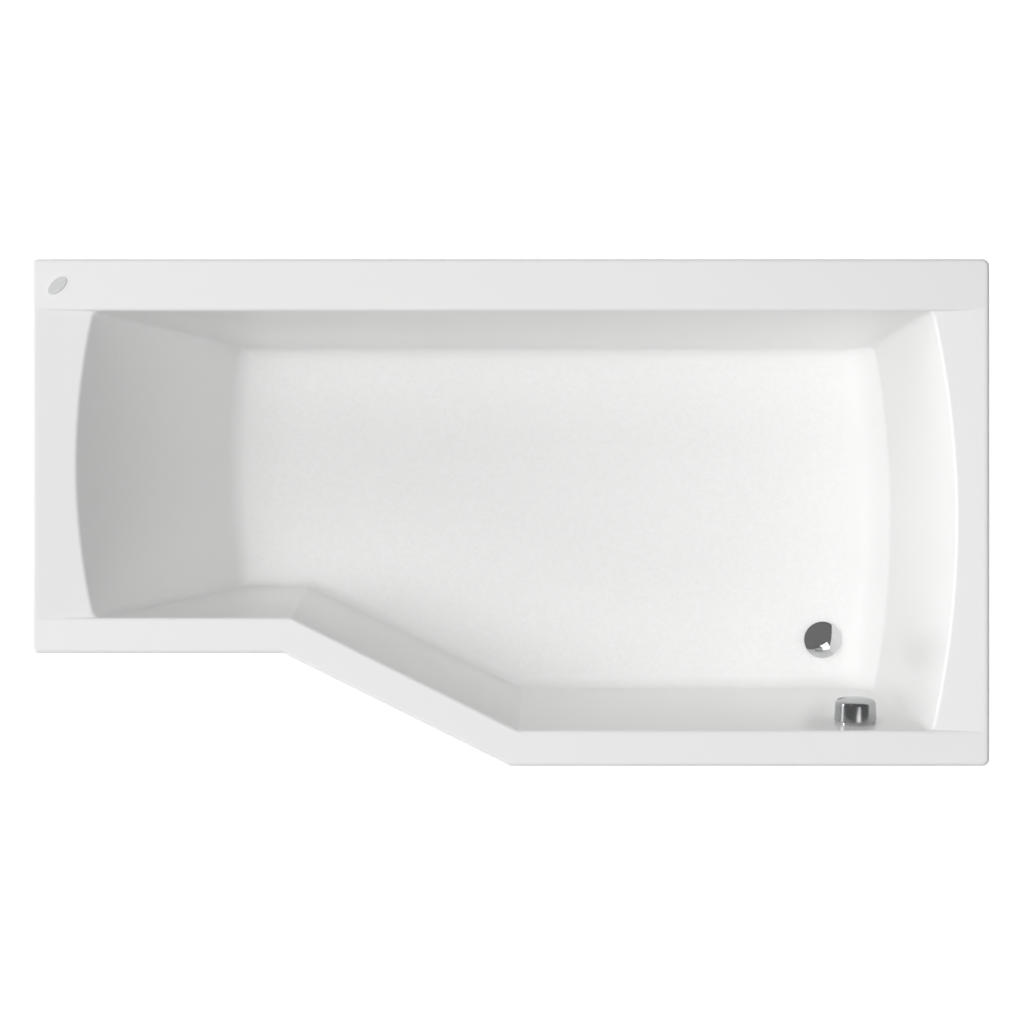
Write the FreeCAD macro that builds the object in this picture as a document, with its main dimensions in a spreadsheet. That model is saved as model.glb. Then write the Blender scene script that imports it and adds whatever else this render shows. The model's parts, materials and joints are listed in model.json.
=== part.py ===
import FreeCAD
import Part
import Sketcher
import math
import os
import re

# Asymmetric acrylic bath on levelling feet, with pop-up waste and overflow.
# Millimetres. X runs from the lying end to the waste end, Y from the front to the wall, Z up.
# The origin is on the floor, under the middle of the rim.

SIZES = [
    # Bath outline
    ("bath_length", 1700, "overall length of the rim"),
    ("bath_width", 900, "width of the wide end"),
    ("narrow_width", 700, "width of the lying end"),
    ("rim_height", 580, "rim above the floor of the room"),
    ("head_straight", 447, "straight front of the lying end"),
    ("foot_straight", 850, "straight front of the wide end"),
    ("rim_corner_radius", 13, "outer corners of the rim in plan"),
    ("rim_bend_radius", 9, "front bends of the rim in plan"),
    ("rim_edge_radius", 4, "outer top edge of the rim"),
    ("lip_height", 38, "turned-down lip under the rim"),
    # Shell layers
    ("acrylic", 5, "thickness of the acrylic"),
    ("backing", 3, "thickness of the glass-fibre layer"),
    ("backing_lip_gap", 10, "lip left bare below the glass-fibre layer"),
    # Well
    ("back_rim", 92, "width of the rim at the wall"),
    ("front_rim", 63, "width of the front rim"),
    ("well_depth", 400, "rim to floor inside"),
    ("back_run", 38, "how far the back wall leans in down to the floor"),
    ("front_run", 45, "how far the front walls lean in down to the floor"),
    ("bend_head_shift", -8, "drift of the head-side bend along X, rim to floor"),
    ("bend_foot_shift", 7, "drift of the foot-side bend along X, rim to floor"),
    ("head_rim", 76, "width of the rim at the middle of the lying end"),
    ("head_radius", 1290, "plan radius of the lying end"),
    ("head_crease_depth", 288, "depth of the crease in the backrest"),
    ("head_upper_run", 177.5, "lean of the backrest above its crease"),
    ("head_lower_run", 54.5, "lean of the backrest below its crease"),
    ("foot_rim", 59, "width of the rim at the middle of the waste end"),
    ("foot_radius", 1710, "plan radius of the waste end"),
    ("foot_crease_depth", 359, "depth of the crease in the waste end"),
    ("foot_upper_run", 51, "lean of the waste end above its crease"),
    ("foot_lower_run", 43, "lean of the waste end below its crease"),
    ("well_corner_radius", 14, "upright corners of the well and the edge round its floor"),
    ("dip_drop", 8, "how far the end rims dip towards the well"),
    ("dip_margin", 10, "level strip outside each dip"),
    ("head_dip_length", 105, "length over which the lying end dips"),
    ("foot_dip_length", 100, "length over which the waste end dips"),
    # Blank badge
    ("badge_from_head", 47, "badge, in from the lying end"),
    ("badge_from_back", 48, "badge, in from the wall side"),
    ("badge_long", 41, "badge length"),
    ("badge_short", 22, "badge width"),
    ("badge_height", 1.6, "badge thickness"),
    ("badge_turn", 40, "badge turned from X, degrees"),
    # Base board and legs
    ("board_thickness", 16, "base board"),
    ("board_inset", 42, "board edge inside the floor outline"),
    ("board_from_foot", 330, "board, in from the waste end"),
    ("bar_height", 28, "height of the folded leg bars"),
    ("bar_sheet", 2, "steel of the leg bars"),
    ("bar_web", 40, "width of the web of the leg bars"),
    ("bar_flange", 18, "width of each flange of the leg bars"),
    ("bar_end", 22, "bar past each stud"),
    ("head_bar_from_head", 420, "leg bar, in from the lying end"),
    ("foot_bar_from_foot", 420, "leg bar, in from the waste end"),
    ("bracket_from_bend", 60, "front bracket, on from the foot-side bend"),
    ("bracket_length", 190, "length of the front bracket"),
    ("stud_out", 24, "studs outside the edge of the floor"),
    ("stud_radius", 5, "M10 stud"),
    ("stud_top_room", 35, "stud above the web of its bar"),
    ("stud_hex", 13, "hexagon on the stud, across flats"),
    ("stud_hex_height", 9, "height of that hexagon"),
    ("thread_clearance", 0.05, "radial play of a stud in its nut"),
    ("nut_across", 17, "M10 nut across flats"),
    ("nut_height", 8, "M10 nut"),
    ("web_hole_play", 0.6, "radial play of a stud in its bar"),
    ("pad_radius", 28, "foot pad"),
    ("pad_height", 20, "foot pad"),
    ("pad_neck", 11, "radius of the top of the pad"),
    ("pad_rim", 5, "height of the edge of the pad"),
    ("pad_floor", 6, "plastic under the end of the stud"),
    ("screw_radius", 2.2, "wood screw"),
    ("screw_length", 14, "wood screw in the board"),
    ("screw_head", 4.4, "radius of the head"),
    ("screw_head_height", 2.6, "height of the head"),
    ("screw_play", 0.1, "radial play of a screw in its hole"),
    ("screw_pitch", 190, "spacing of the screws along a bar"),
    ("screw_edge", 25, "first screw of the bracket inside the board"),
    ("bracket_pitch", 45, "spacing of the screws of the bracket"),
    # Waste
    ("waste_from_foot", 238, "waste, in from the waste end"),
    ("waste_from_front", 200, "waste, in from the front"),
    ("waste_hole", 27, "radius of the hole in the floor"),
    ("flange_radius", 34, "waste flange"),
    ("flange_height", 2.6, "waste flange over its seal"),
    ("tail_radius", 25, "threaded tail of the flange"),
    ("tail_bore", 20, "bore of the tail"),
    ("tail_length", 34, "tail below the floor"),
    ("seal_thickness", 1.4, "flat seal under the flange"),
    ("bottom_seal_thickness", 3, "seal under the backing"),
    ("assembly_play", 0.1, "play between pieces that are screwed together"),
    ("body_flange", 40, "radius of the top flange of the waste body"),
    ("body_flange_height", 6, "top flange of the waste body"),
    ("chamber_radius", 37, "outside of the chamber"),
    ("chamber_wall", 3.5, "wall of the chamber"),
    ("chamber_top_drop", 33, "chamber roof under the seal"),
    ("chamber_height", 44, "height of the chamber"),
    ("neck_radius", 23, "threaded neck under the chamber"),
    ("neck_bore", 18, "bore of the neck"),
    ("neck_length", 18, "length of the neck"),
    ("guide_radius", 7, "hub that guides the stem"),
    ("guide_height", 12, "height of that hub"),
    ("guide_spoke", 4, "width of its spokes"),
    ("guide_clearance", 0.1, "radial play of the stem"),
    # Plug
    ("cap_radius", 36, "plug cap"),
    ("cap_dome", 5, "height of the dome"),
    ("cap_edge", 2.5, "straight edge of the cap"),
    ("cap_wall", 2, "metal of the cap"),
    ("cap_gap", 0.8, "cap edge over the flange when shut"),
    ("plug_seal_radius", 19.7, "sealing ring of the plug"),
    ("plug_seal_height", 7, "height of that ring"),
    ("stem_radius", 4, "plug stem"),
    # Bell crank that lifts the stem
    ("lever_arm", 22, "pin to stem"),
    ("lever_drop", 14, "pin to the cable"),
    ("lever_tip", 3.5, "radius of the nose under the stem"),
    ("lever_thickness", 6, "thickness of the lever"),
    ("lever_hub", 5, "radius of its hub"),
    ("lever_gap", 0.3, "nose to stem when shut"),
    ("pin_radius", 2, "pin of the lever"),
    ("pin_clearance", 0.05, "radial play on the pin"),
    # Trap
    ("pipe_radius", 20, "outside of the waste pipe"),
    ("pipe_wall", 2.5, "wall of the waste pipe"),
    ("trap_radius", 33, "centre line of the bend"),
    ("trap_leg", 10, "straight inlet leg over the bend"),
    ("collar_height", 5, "collar that the nut pulls up"),
    ("pipe_nut_wall", 5, "wall of the pipe nuts"),
    ("pipe_nut_height", 17, "height of the pipe nuts"),
    ("riser_gap", 2, "plain pipe between the bend and its threaded end"),
    ("elbow_radius", 24, "centre line of the outlet elbow"),
    ("spigot_length", 60, "free spigot of the outlet"),
    # Overflow
    ("overflow_from_foot", 226, "overflow, in from the waste end"),
    ("overflow_depth", 79, "overflow centre below the rim, along the wall"),
    ("overflow_hole", 26, "radius of the hole in the wall"),
    ("face_radius", 33, "ring inside the bath"),
    ("face_height", 4, "thickness of that ring"),
    ("overflow_seal_thickness", 2.5, "seal behind the wall"),
    ("housing_flange", 35, "flange of the overflow body"),
    ("housing_flange_height", 4, "thickness of that flange"),
    ("housing_radius", 28, "cup of the overflow body"),
    ("housing_wall", 3, "wall of that cup"),
    ("housing_depth", 34, "depth of that cup behind the flange"),
    ("outlet_radius", 13, "hose tail of the overflow body"),
    ("outlet_length", 26, "hose tail outside the cup"),
    ("face_screw_radius", 2, "screws of the overflow ring"),
    ("face_screw_circle", 22.5, "circle of those screws"),
    ("face_boss", 5, "bosses for those screws"),
    # Knob
    ("knob_radius", 38, "widest part of the knob"),
    ("knob_front_radius", 34, "front of the knob"),
    ("knob_gap", 3, "gap behind the knob for the water"),
    ("knob_length", 36, "length of the knob"),
    ("knob_dome", 5.5, "bulge of its front"),
    ("knob_wall", 3, "metal of the knob"),
    ("knob_hub", 8.5, "hub inside the knob"),
    ("knob_edge_radius", 7, "rounding of the front edge"),
    ("spindle_radius", 4, "spindle"),
    ("spindle_clearance", 0.05, "radial play of the spindle"),
    ("spindle_boss", 7, "bearing of the spindle in the back of the cup"),
    ("spindle_boss_length", 9, "length of that bearing"),
    ("knob_screw_radius", 1.5, "grub screw of the knob"),
    ("knob_screw_length", 4, "length of that screw"),
    ("crank_radius", 15, "cable crank on the spindle"),
    ("crank_thickness", 6, "thickness of the cable crank"),
    # Hose and cable
    ("hose_radius", 13, "ribs of the hose"),
    ("hose_root", 11.2, "hose between its ribs"),
    ("hose_bore", 9.6, "bore of the hose"),
    ("rib_pitch", 6, "spacing of the ribs"),
    ("hose_bend", 40, "bend of the hose"),
    ("hose_cuff", 14, "plain cuff at each end"),
    ("inlet_radius", 13, "hose tail on the waste body"),
    ("inlet_length", 18, "hose tail outside the chamber"),
    ("inlet_drop", 15, "hose tail below the chamber roof"),
    ("hose_nut_wall", 3, "wall of the hose nuts"),
    ("hose_nut_height", 16, "height of the hose nuts"),
    ("cable_radius", 2.5, "cable sheath"),
    ("cable_bore", 1.3, "bore of the sheath"),
    ("wire_radius", 0.9, "pull wire"),
    ("cable_side", 22, "cable beside the overflow centre"),
    ("cable_bend", 60, "bend of the cable"),
    ("cable_drop", 36, "cable below the chamber roof"),
    ("gland_radius", 4.5, "cable glands"),
    ("gland_length", 16, "length of the glands"),
    ("gland_seat", 6, "wire guide at the bottom of each gland"),
    ("gland_boss", 5.5, "bosses that the glands screw into"),
    ("gland_boss_rise", 4, "those bosses over the chamber wall"),
]

doc = FreeCAD.newDocument("bath")
sheet = doc.addObject("Spreadsheet::Sheet", "sizes")
for row, (alias, value, note) in enumerate(SIZES, start=1):
    sheet.set(f"A{row}", note)
    sheet.set(f"B{row}", str(value))
    sheet.setAlias(f"B{row}", alias)
doc.recompute()

ALIASES = {alias for alias, value, note in SIZES}
NODES = []


def bound(text):
    """Turn a formula of plain size names into an expression on the sheet."""
    def on_sheet(match):
        word = match[0]
        return f"sizes.{word}" if word in ALIASES else word

    return re.sub(r"[a-z][a-z0-9_]*", on_sheet, str(text))


def number(text):
    """Value of a formula of size names."""
    result = sheet.evalExpression(bound(text))
    return float(getattr(result, "Value", result))


def keep(part, label):
    """Name a finished sub-part, which becomes a node of its own."""
    part.Label = label
    NODES.append(part)
    return part


# Sketches and features


def new_body(name):
    return doc.addObject("PartDesign::Body", name)


def origin_plane(body, role):
    return next(item for item in body.Origin.OriginFeatures if item.Role == role)


def new_sketch(body, role, level="0"):
    """Empty sketch on one of the body's own planes, lifted off it by a formula."""
    sketch = body.newObject("Sketcher::SketchObject", f"{body.Name}_sketch")
    sketch.AttachmentSupport = [(origin_plane(body, role), "")]
    sketch.MapMode = "FlatFace"
    sketch.setExpression("AttachmentOffset.Base.z", bound(level))
    return sketch


def pin_down(sketch, item, end, x, y):
    """Fix one point of a sketch at a place given by two formulas."""
    for kind, axis, formula in (("DistanceX", -2, x), ("DistanceY", -1, y)):
        if number(formula) == 0:
            sketch.addConstraint(Sketcher.Constraint("PointOnObject", item, end, axis))
            continue
        index = sketch.addConstraint(Sketcher.Constraint(kind, -1, 1, item, end, number(formula)))
        sketch.setExpression(f"Constraints[{index}]", bound(formula))


def draw_outline(sketch, points):
    """Closed outline. A point is (x, y), or (x, y, radius, side) where an arc follows it.

    The side is 1 for an arc that bulges to the right of the way from point to point, -1 for the left.
    """
    count = len(points)
    places = [FreeCAD.Vector(number(point[0]), number(point[1]), 0) for point in points]
    for index, point in enumerate(points):
        here = places[index]
        there = places[(index + 1) % count]
        if len(point) == 2:
            sketch.addGeometry(Part.LineSegment(here, there), False)
            continue
        radius = number(point[2])
        chord = there - here
        across = FreeCAD.Vector(chord.y, -chord.x, 0).normalize() * point[3]
        rise = radius - (radius ** 2 - (chord.Length / 2) ** 2) ** 0.5
        arc = Part.Arc(here, (here + there) * 0.5 + across * rise, there)
        sketch.addGeometry(arc, False)
        index_radius = sketch.addConstraint(Sketcher.Constraint("Radius", index, radius))
        sketch.setExpression(f"Constraints[{index_radius}]", bound(point[2]))
    ends = [first_and_last(points[index], index) for index in range(count)]
    for index in range(count):
        after = (index + 1) % count
        joined = (index, ends[index][1], after, ends[after][0])
        sketch.addConstraint(Sketcher.Constraint("Coincident", *joined))
        pin_down(sketch, index, ends[index][0], *points[index][:2])


def first_and_last(point, index):
    """Which ends of a run are its first and last: arcs always run anticlockwise."""
    return (2, 1) if len(point) > 2 and point[3] < 0 else (1, 2)


def draw_circle(sketch, x, y, radius):
    item = sketch.addGeometry(Part.Circle(
        FreeCAD.Vector(number(x), number(y), 0), FreeCAD.Vector(0, 0, 1), number(radius)), False)
    index = sketch.addConstraint(Sketcher.Constraint("Radius", item, number(radius)))
    sketch.setExpression(f"Constraints[{index}]", bound(radius))
    pin_down(sketch, item, 3, x, y)


def add_pad(body, sketch, length, kind="PartDesign::Pad", back=False):
    feature = body.newObject(kind, f"{body.Name}_{kind.split('::')[1].lower()}")
    feature.Profile = sketch
    feature.setExpression("Length", bound(length))
    feature.Reversed = back
    body.Tip = feature
    return feature


def add_pocket(body, sketch, length, back=False):
    return add_pad(body, sketch, length, "PartDesign::Pocket", back)


def add_turned(body, points, kind="PartDesign::Revolution"):
    """Turn a half section, drawn as (radius, height), about the body's Z axis."""
    sketch = new_sketch(body, "XZ_Plane")
    draw_outline(sketch, points)
    feature = body.newObject(kind, f"{body.Name}_turned")
    feature.Profile = sketch
    feature.ReferenceAxis = (sketch, ["V_Axis"])
    feature.Angle = 360
    body.Tip = feature
    return feature


def add_loft(body, sketches, kind="PartDesign::AdditiveLoft"):
    feature = body.newObject(kind, f"{body.Name}_loft")
    feature.Profile = sketches[0]
    feature.Sections = sketches[1:]
    feature.Ruled = True
    body.Tip = feature
    return feature


def middle(edge):
    first, last = edge.ParameterRange
    return edge.valueAt((first + last) / 2)


def height_span(edge):
    heights = [vertex.Z for vertex in edge.Vertexes]
    return max(heights) - min(heights)


def edge_names(shape, chosen):
    """Names of the edges that a test picks."""
    return [f"Edge{index}" for index, edge in enumerate(shape.Edges, start=1) if chosen(edge)]


def add_fillet(body, radius, chosen, kind="PartDesign::Fillet", size="Radius"):
    doc.recompute()
    base = body.Tip
    feature = body.newObject(kind, f"{body.Name}_{size.lower()}")
    feature.Base = (base, edge_names(base.Shape, chosen))
    feature.setExpression(size, bound(radius))
    body.Tip = feature
    return feature


def place(part, x, y, z):
    """Put a sub-part at a place given by three formulas."""
    for axis, formula in zip("xyz", (x, y, z)):
        part.setExpression(f"Placement.Base.{axis}", bound(formula))
    return part


def turned(label, points, at=("0", "0", "0")):
    """A sub-part that is one turned section."""
    body = new_body(label)
    add_turned(body, points)
    place(body, *at)
    return keep(body, label)


def ring(inner, outer, low, high):
    return [(inner, low), (outer, low), (outer, high), (inner, high)]


def cut(name, base, tool):
    result = doc.addObject("Part::Cut", name)
    result.Base = base
    result.Tool = tool
    return result


def fuse(name, shapes):
    result = doc.addObject("Part::MultiFuse", name)
    result.Shapes = shapes
    return result


def common(name, shapes):
    result = doc.addObject("Part::MultiCommon", name)
    result.Shapes = shapes
    return result


def group(label, parts):
    """Several like solids that share a node."""
    result = doc.addObject("Part::Compound", label)
    result.Links = parts
    return keep(result, label)


# Heights and lines that the pieces share

FLOOR = "(rim_height - well_depth)"
UNDER_ACRYLIC = f"({FLOOR} - acrylic)"
UNDERSIDE = f"({FLOOR} - acrylic - backing)"
BOARD_BOTTOM = f"({UNDERSIDE} - board_thickness)"
WEB_TOP = f"({BOARD_BOTTOM} - bar_height + bar_sheet)"
WEB_BOTTOM = f"({BOARD_BOTTOM} - bar_height)"
BACK = "(bath_width / 2)"
FRONT = "(-bath_width / 2)"
NARROW = "(bath_width / 2 - narrow_width)"
END = "(bath_length / 2)"
HEAD_BEND = f"(head_straight - {END})"
FOOT_BEND = f"({END} - foot_straight)"
BEND_ANGLE = f"atan(({NARROW} - {FRONT}) / ({FOOT_BEND} - {HEAD_BEND}))"
BEND_DRIFT = f"tan({BEND_ANGLE} / 2)"
REACH = "40"
END_HALF = f"(bath_width / 2 + {REACH})"


def outer_outline(inset):
    """Plan of the rim, drawn in by an inset."""
    return [
        (f"-{END} + {inset}", f"{BACK} - {inset}"),
        (f"-{END} + {inset}", f"{NARROW} + {inset}"),
        (f"{HEAD_BEND} + {inset} * {BEND_DRIFT}", f"{NARROW} + {inset}"),
        (f"{FOOT_BEND} + {inset} * {BEND_DRIFT}", f"{FRONT} + {inset}"),
        (f"{END} - {inset}", f"{FRONT} + {inset}"),
        (f"{END} - {inset}", f"{BACK} - {inset}"),
    ]


def head_line(depth, below_crease):
    """X of the middle of the lying end at a depth."""
    top = f"(-{END} + head_rim)"
    if not below_crease:
        return f"({top} + head_upper_run * ({depth}) / head_crease_depth)"
    share = f"(({depth}) - head_crease_depth) / (well_depth - head_crease_depth)"
    return f"({top} + head_upper_run + head_lower_run * {share})"


def foot_line(depth, below_crease):
    """X of the middle of the waste end at a depth."""
    top = f"({END} - foot_rim)"
    if not below_crease:
        return f"({top} - foot_upper_run * ({depth}) / foot_crease_depth)"
    share = f"(({depth}) - foot_crease_depth) / (well_depth - foot_crease_depth)"
    return f"({top} - foot_upper_run - foot_lower_run * {share})"


def back_line(depth, grow="0"):
    return f"({BACK} - back_rim - back_run * ({depth}) / well_depth + {grow})"


def front_line(depth, grow="0"):
    return f"({FRONT} + front_rim + front_run * ({depth}) / well_depth - {grow})"


def narrow_line(depth, grow="0"):
    return f"({NARROW} + front_rim + front_run * ({depth}) / well_depth - {grow})"


def bend_x(outer, shift, depth, grow):
    return f"({outer} + (front_rim - {grow}) * {BEND_DRIFT} + {shift} * ({depth}) / well_depth)"


def side_outline(depth, grow):
    """Plan of the four side walls at a depth, run out past both ends."""
    back = back_line(depth, grow)
    front = front_line(depth, grow)
    narrow = narrow_line(depth, grow)
    return [
        ("-bath_length", back),
        ("-bath_length", narrow),
        (bend_x(HEAD_BEND, "bend_head_shift", depth, grow), narrow),
        (bend_x(FOOT_BEND, "bend_foot_shift", depth, grow), front),
        ("bath_length", front),
        ("bath_length", back),
    ]


def head_outline(depth, grow, below_crease):
    """Plan of everything beyond the bowed lying end at a depth."""
    bow = f"(head_radius + {grow})"
    centre = f"(({back_line(depth)} + {narrow_line(depth)}) / 2)"
    x = f"({head_line(depth, below_crease)} + head_radius - sqrt({bow}^2 - {END_HALF}^2))"
    return [
        (x, f"{centre} + {END_HALF}", bow, 1),
        (x, f"{centre} - {END_HALF}"),
        ("-bath_length * 1.5", f"{centre} - {END_HALF}"),
        ("-bath_length * 1.5", f"{centre} + {END_HALF}"),
    ]


def foot_outline(depth, grow, below_crease):
    """Plan of everything beyond the bowed waste end at a depth."""
    bow = f"(foot_radius + {grow})"
    centre = f"(({back_line(depth)} + {front_line(depth)}) / 2)"
    x = f"({foot_line(depth, below_crease)} - foot_radius + sqrt({bow}^2 - {END_HALF}^2))"
    return [
        (x, f"{centre} - {END_HALF}", bow, 1),
        (x, f"{centre} + {END_HALF}"),
        ("bath_length * 1.5", f"{centre} + {END_HALF}"),
        ("bath_length * 1.5", f"{centre} - {END_HALF}"),
    ]


def well(name, grow):
    """Volume of the well, grown outwards and downwards, with its rounded corners."""
    body = new_body(name)
    bottom = f"(well_depth + {grow})"

    def section(depth, outline):
        sketch = new_sketch(body, "XY_Plane", f"rim_height - ({depth})")
        draw_outline(sketch, outline)
        return sketch

    add_loft(body, [section(depth, side_outline(depth, grow)) for depth in (f"-{REACH}", bottom)])
    for outline, crease in ((head_outline, "head_crease_depth"), (foot_outline, "foot_crease_depth")):
        levels = [(f"-2 * {REACH}", False), (crease, False), (f"{bottom} + {REACH}", True)]
        sections = [section(depth, outline(depth, grow, low)) for depth, low in levels]
        add_loft(body, sections, "PartDesign::SubtractiveLoft")
    floor = number(f"{FLOOR} - {grow}")
    crease = number("rim_height - foot_crease_depth")
    wall_reach = number(f"{BACK} - back_rim - back_run") / 2

    def rounded(edge):
        if height_span(edge) > 1:
            return True
        at_floor = abs(middle(edge).z - floor) < 0.01
        at_crease = abs(middle(edge).z - crease) < 0.01 and abs(middle(edge).y) < wall_reach
        return at_floor or (at_crease and middle(edge).x > 0 and grow == "0")

    add_fillet(body, f"well_corner_radius + {grow}", rounded)
    return body


def rim_block(name, inset):
    """Everything under the top face of the rim, drawn in and lowered, with both end dips."""
    body = new_body(name)
    sketch = new_sketch(body, "XY_Plane", f"{FLOOR} - {REACH}")
    draw_outline(sketch, outer_outline(inset))
    add_pad(body, sketch, f"well_depth + {REACH} - {inset}")

    def at_corner(edge):
        return height_span(edge) > 1 and abs(middle(edge).x) > number(f"{END} - {inset} - 1")

    def at_bend(edge):
        return height_span(edge) > 1 and abs(middle(edge).x) < number(f"{END} - {inset} - 1")

    add_fillet(body, f"rim_corner_radius - {inset}", at_corner)
    add_fillet(body, f"rim_bend_radius - {inset}", at_bend)
    if inset == "0":
        add_fillet(body, "rim_edge_radius", lambda edge: abs(middle(edge).z - number("rim_height")) < 0.01)
    for side, length, front in ((-1, "head_dip_length", narrow_line), (1, "foot_dip_length", front_line)):
        sketches = []
        outside = f"({END} - dip_margin)"
        for x, drop in ((outside, "0"), (f"{outside} - 2 * {length}", "2 * dip_drop")):
            section = new_sketch(body, "YZ_Plane", f"{side} * ({x})")
            low = f"({drop} + {inset})"
            draw_outline(section, [
                (back_line(f"-{REACH} + {inset}", inset), f"rim_height + {REACH} - {inset}"),
                (front(f"-{REACH} + {inset}", inset), f"rim_height + {REACH} - {inset}"),
                (front(low, inset), f"rim_height - {low}"),
                (back_line(low, inset), f"rim_height - {low}"),
            ])
            sketches.append(section)
        add_loft(body, sketches, "PartDesign::SubtractiveLoft")
    return body


# Placing helpers


def cylinder(name, radius, length, at, along):
    """Round bar from a point, along a direction, with its radius and length as formulas."""
    part = doc.addObject("Part::Cylinder", name)
    part.setExpression("Radius", bound(radius))
    part.setExpression("Height", bound(length))
    part.Placement = FreeCAD.Placement(at, FreeCAD.Rotation(UP, along))
    return part


def aimed(body, at, along):
    """Stand a body that was drawn about its Z axis at a point, along a direction."""
    body.Placement = FreeCAD.Placement(at, FreeCAD.Rotation(UP, along))
    return body


def turned_along(label, points, at, along):
    body = new_body(label)
    add_turned(body, points)
    return keep(aimed(body, at, along), label)


def point(x, y, z):
    return FreeCAD.Vector(number(x), number(y), number(z))


UP = FreeCAD.Vector(0, 0, 1)
DOWN = FreeCAD.Vector(0, 0, -1)
TO_WALL = FreeCAD.Vector(0, 1, 0)

# The overflow stands square on the leaning front wall

LEAN = number("atan(front_run / well_depth)")
OVERFLOW_X = f"({END} - overflow_from_foot)"
WALL_POINT = point(OVERFLOW_X, front_line("overflow_depth"), "rim_height - overflow_depth")
WALL = FreeCAD.Placement(WALL_POINT, FreeCAD.Rotation(FreeCAD.Vector(1, 0, 0), LEAN - 90))
INTO_BATH = WALL.Rotation.multVec(UP)
DOWN_WALL = WALL.Rotation.multVec(TO_WALL)
WALL_THICKNESS = "((acrylic + backing) * cos(atan(front_run / well_depth)))"
HOUSING_TOP = f"(-{WALL_THICKNESS} - overflow_seal_thickness)"
HOUSING_BACK = f"({HOUSING_TOP} - housing_flange_height - housing_depth)"
HOUSING_MIDDLE = f"({HOUSING_TOP} - housing_flange_height - housing_depth / 2)"


def on_wall(x, y, z):
    """Point of the overflow in the room: X along the bath, Y down the wall, Z into the bath."""
    return WALL.multVec(point(x, y, z))


# Place and levels of the waste

WASTE_X = f"({END} - waste_from_foot)"
WASTE_Y = f"({FRONT} + waste_from_front)"
SEAT = f"({FLOOR} + seal_thickness)"
FLANGE_TOP = f"({SEAT} + flange_height)"
TAIL_BOTTOM = f"({FLOOR} - tail_length)"
BODY_TOP = f"({UNDERSIDE} - bottom_seal_thickness)"
ROOF = f"({BODY_TOP} - chamber_top_drop)"
CHAMBER_BOTTOM = f"({ROOF} - chamber_height)"
NECK_BOTTOM = f"({CHAMBER_BOTTOM} - neck_length)"
INLET_LEVEL = f"({ROOF} - inlet_drop)"
CABLE_LEVEL = f"({ROOF} - cable_drop)"
PIN_LEVEL = f"({CABLE_LEVEL} + lever_drop)"
STEM_BOTTOM = f"({PIN_LEVEL} + lever_tip + lever_gap)"
CAP_BOTTOM = f"({FLANGE_TOP} + cap_gap)"
CAP_INSIDE = f"({CAP_BOTTOM} + cap_edge / 2)"


def waste_point(level):
    return point(WASTE_X, WASTE_Y, level)


def corner_below(x, level):
    """Where a line down behind the wall, started beside the overflow, reaches a level."""
    start = on_wall(x, "0", HOUSING_MIDDLE)
    return start + DOWN_WALL * ((start.z - number(level)) / -DOWN_WALL.z)


HOSE_CORNER = corner_below("0", INLET_LEVEL)
TO_HOSE = (HOSE_CORNER - waste_point(INLET_LEVEL)).normalize()
CABLE_CORNER = corner_below("-cable_side", CABLE_LEVEL)
TO_CABLE = (CABLE_CORNER - waste_point(CABLE_LEVEL)).normalize()
PIN_AXIS = UP.cross(TO_CABLE)


# Acrylic shell and glass-fibre backing


def lip_zone(name, bare):
    """Slab of the room that holds the rim and its lip."""
    box = doc.addObject("Part::Box", name)
    box.setExpression("Length", bound("bath_length * 2"))
    box.setExpression("Width", bound("bath_width * 2"))
    box.setExpression("Height", bound(f"lip_height - {bare} + {REACH}"))
    return place(box, "-bath_length", "-bath_width", f"rim_height - lip_height + {bare}")


def make_shell():
    layers = {"inside": "0", "acrylic": "acrylic", "backing": "(acrylic + backing)"}
    wells = {name: well(f"well_{name}", grow) for name, grow in layers.items()}
    rims = {name: rim_block(f"rim_{name}", grow) for name, grow in layers.items()}
    waste_hole = cylinder("waste_hole", "waste_hole", REACH, waste_point(f"{FLOOR} - {REACH} / 2"), UP)
    overflow_hole = cylinder(
        "overflow_hole", "overflow_hole", REACH, on_wall("0", "0", f"-{REACH} / 2"), INTO_BATH)
    holes = fuse("shell_holes", [waste_hole, overflow_hole])
    for label, outer, inner, bare in (
            ("bath_shell", "inside", "acrylic", "0"),
            ("fibreglass_backing", "acrylic", "backing", "backing_lip_gap")):
        zone = lip_zone(f"{label}_zone", bare)
        plate = cut(f"{label}_plate", common(f"{label}_block", [rims[outer], zone]), rims[inner])
        walls = common(f"{label}_walls", [wells[inner], rims[outer]])
        outside = fuse(f"{label}_outside", [plate, walls])
        keep(cut(label, cut(f"{label}_whole", outside, wells[outer]), holes), label)


def make_badge():
    """Blank oval plate on the back rim."""
    oval = Part.Ellipse(FreeCAD.Vector(0, 0, 0), sheet.badge_long / 2, sheet.badge_short / 2)
    face = Part.Face(Part.Wire(oval.toShape()))
    plate = face.extrude(FreeCAD.Vector(0, 0, sheet.badge_height))
    top = [edge for edge in plate.Edges if abs(middle(edge).z - sheet.badge_height) < 0.01]
    badge = doc.addObject("Part::Feature", "corner_badge")
    badge.Shape = plate.makeFillet(sheet.badge_height / 2, top)
    badge.Placement = FreeCAD.Placement(
        point(f"badge_from_head - {END}", f"{BACK} - badge_from_back", "rim_height"),
        FreeCAD.Rotation(UP, sheet.badge_turn))
    keep(badge, "corner_badge")


# Base board, leg bars and feet

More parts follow.
